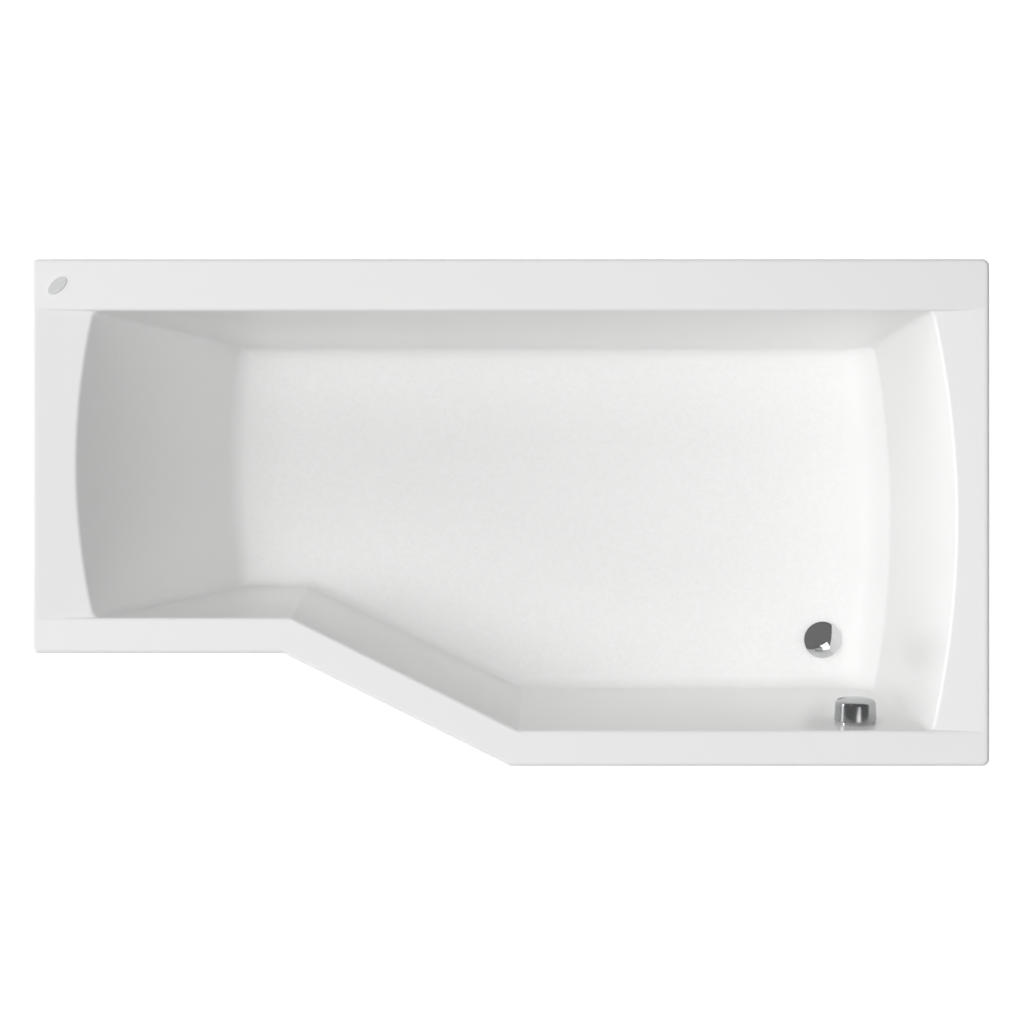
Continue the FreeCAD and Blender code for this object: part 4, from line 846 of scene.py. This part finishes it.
    def _edge_curve(self, end: BathEnd, share: float) -> EndCurve:
        """Give the end curve at a share of the way round the edge of an end.

        Args:
            end: The end.
            share: 0 at the dipped rim, 1 at the wall.

        Returns:
            A function from y to x and z.
        """
        first, last = math.atan(self._ramp(end)), slope_angle(end.upper_slope)
        inwards, drop = along_arc(end.edge, first, first + (last - first) * share)
        return moved_end(self._ramp_curve(end, 1.0), end.way * inwards, drop)

    def _wall_curve(self, end: BathEnd, depth: float) -> EndCurve:
        """End curve on the wall at a depth."""
        plan = self._plan(end, depth)
        return lambda y: (plan(y), self.rim - depth)

    def _cove(self, slope: float, share: float) -> Point2:
        """Follow the cove between a wall and the floor.

        Args:
            slope: Slope of the wall.
            share: 0 on the wall, 1 on the floor.

        Returns:
            The distances inwards and down from the start of the cove.
        """
        angle = slope_angle(slope)
        radius = self.floor_rise / (1 - math.cos(angle))
        return along_arc(-radius, angle, angle * (1 - share))

    def _cove_curve(self, end: BathEnd, share: float) -> EndCurve:
        """End curve at a share of the way round the cove at the floor."""
        inwards, drop = self._cove(end.lower_slope, share)
        return moved_end(self._wall_curve(end, self.depth - self.floor_rise), end.way * inwards, drop)

    # Loops from the outer lip to the floor

    def _station(self, lines: dict[str, float], level: float, curve: Callable[[BathEnd], EndCurve], corner: float,
                 bend: float) -> Station:
        """Make one loop from its straight sides, their height, what gives an end's curve, and two radii."""
        return Station(**lines, side_z=level, head=curve(HEAD), foot=curve(FOOT), corner=corner, bend=bend)

    def _outer(self) -> list[Station]:
        """List the loops of the outer lip and its rounded edge.

        Returns:
            The loops, upwards.
        """
        radius = self.outer_edge
        levels = [(0.0, self.rim - self.lip), (0.0, self.rim - self.lip / 2), (0.0, self.rim - radius)]
        for step in range(1, self.outer_edge_steps + 1):
            angle = math.pi / 2 * step / self.outer_edge_steps
            levels.append((radius * (1 - math.cos(angle)), self.rim - radius * (1 - math.sin(angle))))
        return [self._station(self._inwards(self.outline, offset), level,
                              lambda end: level_end(end.way * (self.half_length - offset), level),
                              self.outer_corner - offset, self.outer_bend) for offset, level in levels]

    def _rim_edges(self) -> list[Station]:
        """List the loops from the level rim over the inner edges of the sides and of the ends.

        Returns:
            The loops, inwards.
        """
        turn = slope_angle(self.side_slope)
        radius = self.inner_edge
        reach = radius * math.tan(turn / 2)
        loops = []
        for share in self.rim_shares:
            depth = self.side_edge_depth * share
            angle = math.acos(max(1 - depth / radius, math.cos(turn)))
            lines = self._lines(0.0, radius * math.sin(angle) - reach)
            if depth > radius * (1 - math.cos(turn)):
                lines = self._lines(depth)
            corner = self.rim_corner + (self.well_corner - self.rim_corner) * share
            loops.append(self._station(lines, self.rim - depth, lambda end: self._ramp_curve(end, share), corner,
                                       self.rim_bend))
        for step in range(1, self.end_edge_steps + 1):
            share = step / self.end_edge_steps
            depth = self.side_edge_depth + self.end_edge_depth * share
            loops.append(self._station(self._lines(depth), self.rim - depth, lambda end: self._edge_curve(end, share),
                                       self.well_corner, self.edge_bend))
        return loops

    def _walls(self) -> list[Station]:
        """List the loops down the walls and round the cove at the floor.

        Returns:
            The loops, downwards.
        """
        start = self.depth - self.floor_rise
        steps = range(-self.crease_steps, self.crease_steps + 1)
        creases = [end.crease + step * end.crease_half / self.crease_steps for end in (HEAD, FOOT) for step in steps]
        loops = [self._station(self._lines(depth), self.rim - depth, lambda end: self._wall_curve(end, depth),
                               self.well_corner, self.well_bend)
                 for depth in sorted((*self.wall_depths, *creases, start))]
        for step in range(1, self.cove_steps + 1):
            share = step / self.cove_steps
            inwards, drop = self._cove(self.side_slope, share)
            corner = self.well_corner + (self.floor_corner - self.well_corner) * share
            loops.append(self._station(self._lines(start, inwards), self.rim - start - drop,
                                       lambda end: self._cove_curve(end, share), corner, self.well_bend))
        return loops

    # Mesh

    def _corner(self, line: float, loop: Station, end: BathEnd, below: int) -> list[Vector]:
        """Round the corner between a straight side and an end.

        Args:
            line: The y of the side.
            loop: The loop that the corner is in.
            end: The end.
            below: 1 where the end lies below the side in plan, -1 where above.

        Returns:
            Points from the side to the end.
        """
        step = 1e-4
        way = end.way
        curve = loop.head if end is HEAD else loop.foot
        slope = (curve(line)[0] - curve(line - below * step)[0]) / (below * step)
        along = 1 / math.sqrt(1 + slope * slope)
        angle = math.acos(max(-1.0, min(1.0, way * below * slope * along)))
        y = line - below * loop.corner / math.tan(angle / 2) * along
        x, z = curve(y)
        slope = (curve(y + below * step)[0] - x) / (below * step)
        corner = Vector((x + slope * (line - y), line))
        start = Vector((corner.x - way * (corner - Vector((x, y))).length, line))
        arc = rounded(start, corner, Vector((x, y)), self.corner_steps)
        count = len(arc) - 1
        return [Vector((point.x, point.y, loop.side_z + (z - loop.side_z) * index / count))
                for index, point in enumerate(arc)]

    def _bend(self, before: Vector, corner: Vector, after: Vector, radius: float) -> list[Vector]:
        """Round a bend between two straight sides.

        Args:
            before: A point before the bend.
            corner: The sharp bend.
            after: A point after the bend.
            radius: Bend radius.

        Returns:
            Points round the bend.
        """
        first = (before - corner).normalized()
        second = (after - corner).normalized()
        reach = radius / math.tan(first.angle(second) / 2)
        return rounded(corner + first * reach, corner, corner + second * reach, self.corner_steps)

    def _row(self, mesh: Mesh, loop: Station) -> list[Vert]:
        """Make the vertices of one loop, clockwise from the head end of the back side.

        Args:
            mesh: Mesh that gets the vertices.
            loop: The loop.

        Returns:
            The vertices in order.
        """
        back_left = self._corner(loop.back, loop, HEAD, 1)[::-1]
        back_right = self._corner(loop.back, loop, FOOT, 1)
        front_right = self._corner(loop.front, loop, FOOT, -1)[::-1]
        narrow_left = self._corner(loop.narrow, loop, HEAD, -1)
        wide = Vector((loop.front_bend, loop.front, loop.side_z))
        slim = Vector((loop.narrow_bend, loop.narrow, loop.side_z))
        front_bend = self._bend(front_right[-1], wide, slim, loop.bend)
        narrow_bend = self._bend(wide, slim, narrow_left[0], loop.bend)
        stretches = [back_left, back_right, front_right, front_bend, narrow_bend, narrow_left]
        curves = {Part.FOOT: loop.foot, Part.HEAD: loop.head}
        points: list[Vector] = []
        for part, stretch, following in zip(Part, stretches, [*stretches[1:], back_left]):
            points += stretch
            count = self.samples[part]
            for step in range(1, count):
                point = stretch[-1].lerp(following[0], step / count)
                if part in curves:
                    x, z = curves[part](point.y)
                    point = Vector((x, point.y, z))
                points.append(point)
        return [mesh.verts.new(point) for point in points]

    def _columns(self, part: Part) -> range:
        """Find the columns of a stretch, its corner points left out.

        Args:
            part: The stretch.

        Returns:
            The columns.
        """
        earlier = list(Part)[:list(Part).index(part)]
        first = self.corner_steps + 1 + sum(self.corner_steps + self.samples[other] for other in earlier)
        return range(first, first + self.samples[part] - 1)

    def _skin(self, mesh: Mesh, rows: list[list[Vert]]) -> None:
        """Join the loops with faces that follow the edge of the overflow in the front wall.

        Args:
            mesh: Mesh that gets the faces.
            rows: Vertices of the loops.
        """
        wall = WallFrame()
        room = self.overflow_radius * self.overflow_room
        columns = self._columns(Part.FRONT)
        level = [row[columns[0]].co.z for row in rows]
        first_row = max(index for index, z in enumerate(level) if z > wall.centre.z + room)
        last_row = min(index for index, z in enumerate(level) if z < wall.centre.z - room)
        places = [(column, rows[first_row][column].co.x) for column in columns]
        first = max(column for column, x in places if x > wall.centre.x + room)
        last = min(column for column, x in places if x < wall.centre.x - room)
        count = len(rows[0])
        for index, (upper, lower) in enumerate(zip(rows, rows[1:])):
            for column in range(count):
                if first_row <= index < last_row and first <= column < last:
                    continue
                after = (column + 1) % count
                mesh.faces.new((upper[column], upper[after], lower[after], lower[column]))
        border = [rows[first_row][column] for column in range(first, last)]
        border += [rows[index][last] for index in range(first_row, last_row)]
        border += [rows[last_row][column] for column in range(last, first, -1)]
        border += [rows[index][first] for index in range(last_row, first_row, -1)]
        spots = [Vector((math.cos(angle), math.sin(angle), 0)) * self.overflow_radius
                 for angle in ring_angles(self.overflow_steps)]
        fill_with_ring(mesh, border, [mesh.verts.new(wall.matrix() @ spot) for spot in spots], X_AXIS, wall.down)

    def _floor(self, mesh: Mesh, border: list[Vert]) -> list[bmesh.types.BMFace]:
        """Fill the floor with faces that follow the edge of the drain.

        Args:
            mesh: Mesh that gets the faces.
            border: Last loop of the cove.

        Returns:
            The floor's faces.
        """
        x, y, radius = self.drain
        level = self.rim - self.depth
        before = set(mesh.faces)
        ring = [mesh.verts.new((x + radius * math.cos(angle), y + radius * math.sin(angle), level))
                for angle in ring_angles(self.drain_steps)]
        fill_with_ring(mesh, border, ring, X_AXIS, Y_AXIS)
        return [face for face in mesh.faces if face not in before]


# Fittings


def crown(radius: float, rise: float, base: float, share: float, steps: int) -> list[Point3]:
    """Give points of a spherical crown from near its edge to its middle.

    Args:
        radius: Radius of the crown's edge.
        rise: Height of the crown.
        base: Height of its edge.
        share: Share of the radius at which the points start.
        steps: Number of divisions.

    Returns:
        Radius, height and a corner radius of zero for each point.
    """
    ball = (radius * radius + rise * rise) / (2 * rise)
    reaches = [radius * share * (1 - step / steps) for step in range(steps + 1)]
    return [(reach, base + math.sqrt(ball * ball - reach ** 2) - ball + rise, 0.0) for reach in reaches]


@dataclass
class PlugCap:
    """Domed cap over the waste."""

    centre: Vector = field(default_factory=lambda: Vector((0.612, -0.250, 0.1848)))
    radius: float = 0.036
    edge: float = 0.0025
    under_round: float = 0.0006
    edge_round: float = 0.0012
    dome: float = 0.004
    dome_share: float = 0.97
    dome_steps: int = 30
    around: int = 160

    def build(self, dresser: Dresser) -> list[Piece]:
        """Turn the cap.

        Args:
            dresser: Source of the finishes.

        Returns:
            The pieces made.
        """
        section = fillet_line([(0.0, 0.0, 0.0), (self.radius, 0.0, self.under_round),
                               (self.radius, self.edge, self.edge_round),
                               *crown(self.radius, self.dome, self.edge, self.dome_share, self.dome_steps)])
        piece = turned_piece("domed_plug_cap", section, Matrix.Translation(self.centre), self.around)
        dresser.dress(piece, "chrome")
        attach(piece, "plug")
        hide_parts("plug_cap")
        return [piece]


@dataclass
class OverflowKnob:
    """Drum-shaped knob on the overflow, hollow at the back."""

    wall: WallFrame = field(default_factory=WallFrame)
    gap: float = 0.003
    hollow: float = 0.009
    skirt: float = 0.003
    length: float = 0.036
    back_radius: float = 0.038
    front_radius: float = 0.036
    hollow_round: float = 0.0005
    back_round: float = 0.0012
    front_round: float = 0.007
    dome: float = 0.0055
    dome_share: float = 0.64
    dome_steps: int = 16
    round_steps: int = 9
    around: int = 160

    def build(self, dresser: Dresser) -> list[Piece]:
        """Turn the knob.

        Args:
            dresser: Source of the finishes.

        Returns:
            The pieces made.
        """
        front = self.gap + self.length
        inside = self.back_radius - self.skirt
        section = fillet_line([(0.0, self.hollow, 0.0), (inside, self.hollow, self.hollow_round),
                               (inside, self.gap, self.hollow_round), (self.back_radius, self.gap, self.back_round),
                               (self.front_radius, front, self.front_round),
                               *crown(self.front_radius, self.dome, front, self.dome_share, self.dome_steps)],
                              self.round_steps)
        piece = turned_piece("turned_knob_drum", section, self.wall.matrix(), self.around)
        dresser.dress(piece, "satin_chrome")
        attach(piece, "knob")
        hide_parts("overflow_knob")
        return [piece]


@dataclass
class GripNut:
    """Union nut with finger grips round it."""

    node: str
    name: str
    low: Vector
    along: Vector
    length: float
    radius: float
    bores: Point2
    shoulder: float
    grips: int
    finish: str
    depth: float = 0.0011
    lead: float = 0.00192
    chamfer: float = 0.0012
    lead_rounds: Point2 = (0.0008, 0.001)
    top_round: float = 0.0006
    round_steps: int = 3
    grip_band: float = 0.0021
    groove_power: int = 5
    steps_per_grip: int = 12

    def build(self, dresser: Dresser) -> list[Piece]:
        """Turn the nut and press the grips into it.

        Args:
            dresser: Source of the finishes.

        Returns:
            The pieces made.
        """
        wide, narrow = self.bores
        top = self.length
        first_round, second_round = self.lead_rounds
        ring = fillet_line([(narrow, 0.0, 0.0), (self.radius - self.lead, 0.0, first_round),
                            (self.radius, self.lead, second_round), (self.radius, top - self.chamfer, self.top_round),
                            (self.radius - self.chamfer, top, 0.0), (wide, top, 0.0)], self.round_steps)
        bore = [(wide, self.shoulder), (narrow, self.shoulder)] if wide > narrow else []
        place = upright(self.low, self.along, Vector((1, 0.2, 0.1)))
        piece = turned_piece(self.name, [*ring, *bore], place, self.grips * self.steps_per_grip, True, self._grip)
        dresser.dress(piece, self.finish)
        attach(piece, "bath")
        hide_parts(self.node)
        return [piece]

    def _grip(self, radius: float, angle: float) -> float:
        """Press the grooves between the grips into the outer wall.

        Args:
            radius: Radius of the plain nut.
            angle: Angle round the nut.

        Returns:
            The radius with its groove.
        """
        if radius < self.radius - self.grip_band:
            return radius
        groove = (0.5 - 0.5 * math.cos(self.grips * angle)) ** self.groove_power
        return radius - self.depth * groove


def union_nuts() -> list[GripNut]:
    """List the four union nuts of the trap and of the overflow hose.

    Returns:
        The nuts.
    """
    down_wall = WallFrame().down
    to_hose = Vector((0.102, -0.9948, 0)).normalized()
    hose_half = 0.008
    top = Vector((0.624, -0.40333, 0.44382)) - down_wall * hose_half
    bottom = Vector((0.61761, -0.30471, 0.121)) - to_hose * hose_half
    pipe = {"length": 0.017, "radius": 0.0281, "bores": (0.0231, 0.0201), "shoulder": 0.0026, "grips": 14,
            "finish": "grey_plastic"}
    hose = {"length": 2 * hose_half, "radius": 0.0161, "bores": (0.0131, 0.0131), "shoulder": 0.0, "grips": 12,
            "finish": "grey_plastic", "depth": 0.0007}
    return [
        GripNut("trap_inlet_nut", "trap_inlet_grip_nut", Vector((0.612, -0.250, 0.0664)), Z_AXIS, **pipe),
        GripNut("trap_outlet_nut", "trap_outlet_grip_nut", Vector((0.612, -0.184, 0.0916)), -Z_AXIS, **pipe),
        GripNut("hose_top_nut", "hose_top_grip_nut", top, down_wall, **hose),
        GripNut("hose_bottom_nut", "hose_bottom_grip_nut", bottom, to_hose, **hose),
    ]


# Hose and cable


def route_points(name: str, route: Sequence[Point3], divisions: int = 48) -> list[Vector]:
    """Read points from the smooth spline of a route.

    Args:
        name: Name for the passing curve.
        route: Control points of the route.
        divisions: Divisions of each span.

    Returns:
        Points along the spline.
    """
    curve = bpy.data.curves.new(name, "CURVE")
    curve.dimensions = "3D"
    spline = curve.splines.new("NURBS")
    spline.points.add(len(route) - 1)
    for point, place in zip(spline.points, route):
        point.co = (*place, 1.0)
    spline.order_u = 3
    spline.use_endpoint_u = True
    spline.resolution_u = divisions
    holder = bpy.data.objects.new(name, curve)
    line = bpy.data.meshes.new_from_object(holder)
    points = [vert.co.copy() for vert in line.vertices]
    bpy.data.objects.remove(holder)
    bpy.data.curves.remove(curve)
    bpy.data.meshes.remove(line)
    return points


def along_line(points: Sequence[Vector], step: float) -> list[Stop]:
    """Walk a line in even steps.

    Args:
        points: Points of the line.
        step: Wished length of a step.

    Returns:
        Distance and point of each stop.
    """
    reach = [0.0]
    for first, second in zip(points, points[1:]):
        reach.append(reach[-1] + (second - first).length)
    count = max(2, round(reach[-1] / step))
    stops = []
    index = 0
    for stop in range(count + 1):
        distance = reach[-1] * stop / count
        while index < len(points) - 2 and reach[index + 1] < distance:
            index += 1
        span = reach[index + 1] - reach[index]
        share = (distance - reach[index]) / span if span else 0.0
        stops.append((distance, points[index].lerp(points[index + 1], share)))
    return stops


def tube_piece(name: str, stops: Sequence[Stop], radius: Callable[[float], float], bore: float, around: int) -> Piece:
    """Make a hollow tube along a line.

    Args:
        name: Name of the piece.
        stops: Distance and point of each ring.
        radius: Outer radius by distance.
        bore: Inner radius.
        around: Divisions round the tube.

    Returns:
        The new piece.
    """
    mesh = bmesh.new()
    side = X_AXIS
    outer: list[list[Vert]] = []
    inner: list[list[Vert]] = []
    for index, (distance, point) in enumerate(stops):
        before = stops[max(index - 1, 0)][1]
        after = stops[min(index + 1, len(stops) - 1)][1]
        ahead = (after - before).normalized()
        side = (side - ahead * side.dot(ahead)).normalized()
        third = ahead.cross(side)
        for rings, reach in ((outer, radius(distance)), (inner, bore)):
            spots = [side * (reach * math.cos(angle)) + third * (reach * math.sin(angle))
                     for angle in ring_angles(around)]
            rings.append([mesh.verts.new(point + spot) for spot in spots])
    bridge(mesh, [*outer, *reversed(inner)], True)
    return finished_piece(name, mesh, TUBE_SHARP)


@dataclass
class OverflowHose:
    """Ribbed hose from the overflow to the waste, with a plain cuff at both ends."""

    route: tuple[Point3, ...] = (
        (0.624, -0.40333, 0.44382), (0.624, -0.37875, 0.226), (0.624, -0.36701, 0.121), (0.61761, -0.30471, 0.121))
    rib_radius: float = 0.013
    root_radius: float = 0.0112
    cuff_radius: float = 0.0126
    bore: float = 0.0096
    pitch: float = 0.006
    cuff: float = 0.014
    rib_fullness: float = 1.35
    rib_power: float = 0.8
    steps_per_rib: int = 10
    around: int = 44

    def build(self, dresser: Dresser) -> list[Piece]:
        """Make the hose and its rounded ribs.

        Args:
            dresser: Source of the finishes.

        Returns:
            The pieces made.
        """
        stops = along_line(route_points("hose_route", self.route), self.pitch / self.steps_per_rib)
        length = stops[-1][0]
        piece = tube_piece("ribbed_overflow_hose", stops, lambda distance: self._radius(distance, length), self.bore,
                           self.around)
        dresser.dress(piece, "hose_plastic")
        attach(piece, "bath")
        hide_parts("overflow_hose")
        LOG.info("hose of %.3f m", length)
        return [piece]

    def _radius(self, distance: float, length: float) -> float:
        """Find the outer radius at a distance along the hose.

        Args:
            distance: Distance from the top end.
            length: Length of the hose.

        Returns:
            The radius.
        """
        ribbed = length - 2 * self.cuff
        share = (distance - self.cuff) / ribbed
        if not 0 < share < 1:
            return self.cuff_radius
        wave = 0.5 - 0.5 * math.cos(2 * math.pi * share * round(ribbed / self.pitch))
        full = min(1.0, self.rib_fullness * wave) ** self.rib_power
        return self.root_radius + (self.rib_radius - self.root_radius) * full


@dataclass
class PullCable:
    """Cable from the knob to the plug's lever, a wire in a sheath."""

    route: tuple[Point3, ...] = (
        (0.602, -0.40624, 0.46966), (0.602, -0.378, 0.2187), (0.602, -0.36465, 0.100), (0.60844, -0.29085, 0.100))
    step: float = 0.002
    start: float = 0.006
    radius: float = 0.0025
    bore: float = 0.0013
    wire_radius: float = 0.0009
    wire_bore: float = 0.000225
    sheath_around: int = 28
    wire_around: int = 16

    def build(self, dresser: Dresser) -> list[Piece]:
        """Make the sheath and the wire in it.

        Args:
            dresser: Source of the finishes.

        Returns:
            The pieces made.
        """
        stops = along_line(route_points("cable_route", self.route), self.step)
        length = stops[-1][0]
        kept = [(distance, point) for distance, point in stops if self.start < distance < length - self.start]
        sheath = tube_piece("pull_cable_sheath", kept, lambda distance: self.radius, self.bore, self.sheath_around)
        wire = tube_piece("pull_cable_wire", stops, lambda distance: self.wire_radius, self.wire_bore,
                          self.wire_around)
        for piece, node, finish in ((sheath, "cable_sheath", "cable_plastic"), (wire, "cable_wire", "wire_steel")):
            dresser.dress(piece, finish)
            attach(piece, "bath")
            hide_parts(node)
        return [sheath, wire]


# Studio


@dataclass(frozen=True)
class Lamp:
    """Soft area lamp that looks at a point."""

    name: str
    place: Point3
    size: Point2
    power: float
    mirrored: bool = True
    target: Point3 = (0.0, 0.0, 0.4)

    def build(self) -> None:
        """Hang the lamp."""
        light = bpy.data.lights.new(self.name, "AREA")
        light.shape = "RECTANGLE"
        light.size, light.size_y = self.size
        light.energy = self.power
        holder = bpy.data.objects.new(self.name, light)
        holder.location = self.place
        holder.visible_glossy = self.mirrored
        aim = Vector(self.target) - Vector(self.place)
        holder.rotation_euler = aim.to_track_quat("-Z", "Y").to_euler()
        bpy.context.scene.collection.objects.link(holder)


@dataclass
class Studio:
    """Pale floor, grey room, soft lamps and the camera above the bath.

    The room gives its grey level by height, from 0 straight below to 1 straight above.
    """

    camera_height: float = 4.231
    camera_shift: Point2 = (0.0028, 0.0009)
    lens: float = 72.44
    sensor: float = 36.0
    view_reach: float = 200.0
    floor_reach: float = 30.0
    floor_tone: float = 0.78
    floor_glow: float = 0.72
    lamps: tuple[Lamp, ...] = (
        Lamp("left_back_edge_softbox", (-8.8, 1.5, 1.5), (4.6, 1.2), 135.0),
        Lamp("left_front_edge_softbox", (-8.8, -3.5, 1.5), (3.2, 1.2), 92.0),
        Lamp("left_mid_softbox", (-7.37, 0.0, 5.56), (4.0, 4.0), 82.0, False),
        Lamp("left_high_softbox", (-4.5, 0.0, 8.2), (4.0, 4.0), 238.0, False),
        Lamp("back_left_softbox", (-5.2, 5.2, 5.56), (4.0, 4.0), 130.0, False),
        Lamp("front_left_softbox", (-4.5, -5.8, 5.56), (4.0, 4.0), 118.0, False),
        Lamp("top_softbox", (0.75, 0.0, 4.5), (1.5, 1.5), 54.0, False, (0.75, 0.0, 0.0)),
        Lamp("front_right_softbox", (1.3, -1.55, 4.5), (1.6, 0.9), 8.0, True, (0.6, -0.3, 0.4)),
        Lamp("back_spot", (-1.5, 2.0, 3.2), (0.25, 0.25), 3.0),
    )
    room: tuple[Point2, ...] = ((0.48, 0.8), (0.52, 0.3), (0.6, 0.15), (1.0, 0.15))
    room_fill: float = 0.2

    def build(self) -> None:
        """Set up the whole studio."""
        bpy.context.scene.view_settings.view_transform = "Standard"
        self._floor()
        self._room()
        for lamp in self.lamps:
            lamp.build()
        self._camera()

    def _floor(self) -> None:
        """Lay the floor, which is white to the eye, keeps the shadow and is clear from below."""
        reach = self.floor_reach
        mesh = bpy.data.meshes.new("studio_floor")
        corners = [(-reach, -reach, 0), (reach, -reach, 0), (reach, reach, 0), (-reach, reach, 0)]
        mesh.from_pydata(corners, [], [(0, 1, 2, 3)])
        floor = new_piece("studio_floor", mesh)
        material = bpy.data.materials.new("studio_floor")
        material.use_nodes = True
        tree = material.node_tree
        tree.nodes.clear()
        tone = self.floor_tone
        shader = add_node(tree, "BsdfPrincipled", {
            "Base Color": (tone, tone, tone, 1.0), "Roughness": 0.9, "Specular IOR Level": 0.1,
            "Emission Color": (1.0, 1.0, 1.0, 1.0), "Emission Strength": self._to_the_eye(tree, 0.0, self.floor_glow)})
        clear = add_node(tree, "BsdfTransparent", {})
        under = add_node(tree, "NewGeometry", {}).outputs["Backfacing"]
        mix = add_node(tree, "MixShader", {0: under, 1: shader.outputs[0], 2: clear.outputs[0]})
        add_node(tree, "OutputMaterial", {"Surface": mix.outputs[0]})
        mesh.materials.append(material)

    @staticmethod
    def _to_the_eye(tree: Tree, low: float, high: float) -> Socket:
        """Give one level to rays that carry a picture and another to rays that carry light.

        Args:
            tree: Node tree to add to.
            low: Level for rays that carry light.
            high: Level for camera, mirrored and transmitted rays.

        Returns:
            Socket with the level.
        """
        path = add_node(tree, "LightPath", {}).outputs
        seen = path["Is Camera Ray"]
        for label in ("Is Glossy Ray", "Is Transmission Ray"):
            seen = add_math(tree, "MAXIMUM", seen, path[label])
        return add_node(tree, "MapRange", {"Value": seen, "To Min": low, "To Max": high}).outputs[0]

    def _room(self) -> None:
        """Make the room pale at the horizon and grey overhead."""
        world = bpy.data.worlds.new("studio_room")
        world.use_nodes = True
        bpy.context.scene.world = world
        tree = world.node_tree
        tree.nodes.clear()
        place = add_node(tree, "TexCoord", {}).outputs["Generated"]
        height = add_node(tree, "SeparateXYZ", {0: place}).outputs["Z"]
        lift = add_node(tree, "MapRange", {"Value": height, "From Min": -1.0}).outputs[0]
        ramp = add_node(tree, "ValToRGB", {0: lift})
        stops = ramp.color_ramp.elements
        while len(stops) < len(self.room):
            stops.new(0.5)
        for stop, (position, level) in zip(stops, self.room):
            stop.position = position
            stop.color = (level, level, level, 1.0)
        fill = self._to_the_eye(tree, self.room_fill, 1.0)
        back = add_node(tree, "Background", {"Color": ramp.outputs[0], "Strength": fill})
        add_node(tree, "OutputWorld", {"Surface": back.outputs[0]})

    def _camera(self) -> None:
        """Hang the camera straight above the bath."""
        data = bpy.data.cameras.new("overhead_camera")
        data.lens = self.lens
        data.sensor_width = self.sensor
        data.clip_end = self.view_reach
        camera = bpy.data.objects.new("overhead_camera", data)
        camera.location = (*self.camera_shift, self.camera_height)
        bpy.context.scene.collection.objects.link(camera)
        bpy.context.scene.camera = camera


# Whole bath


def main() -> None:
    """Build and dress the bath, set up the studio and note the sizes."""
    logging.basicConfig(level=logging.INFO, format="%(name)s: %(message)s")
    dresser = Dresser()
    dresser.dress_nodes()
    for part in (BathShell(), PlugCap(), OverflowKnob(), *union_nuts(), OverflowHose(), PullCable()):
        for piece in part.build(dresser):
            LOG.info("built %s", piece.name)
    Studio().build()


if __name__ == "__main__":
    main()
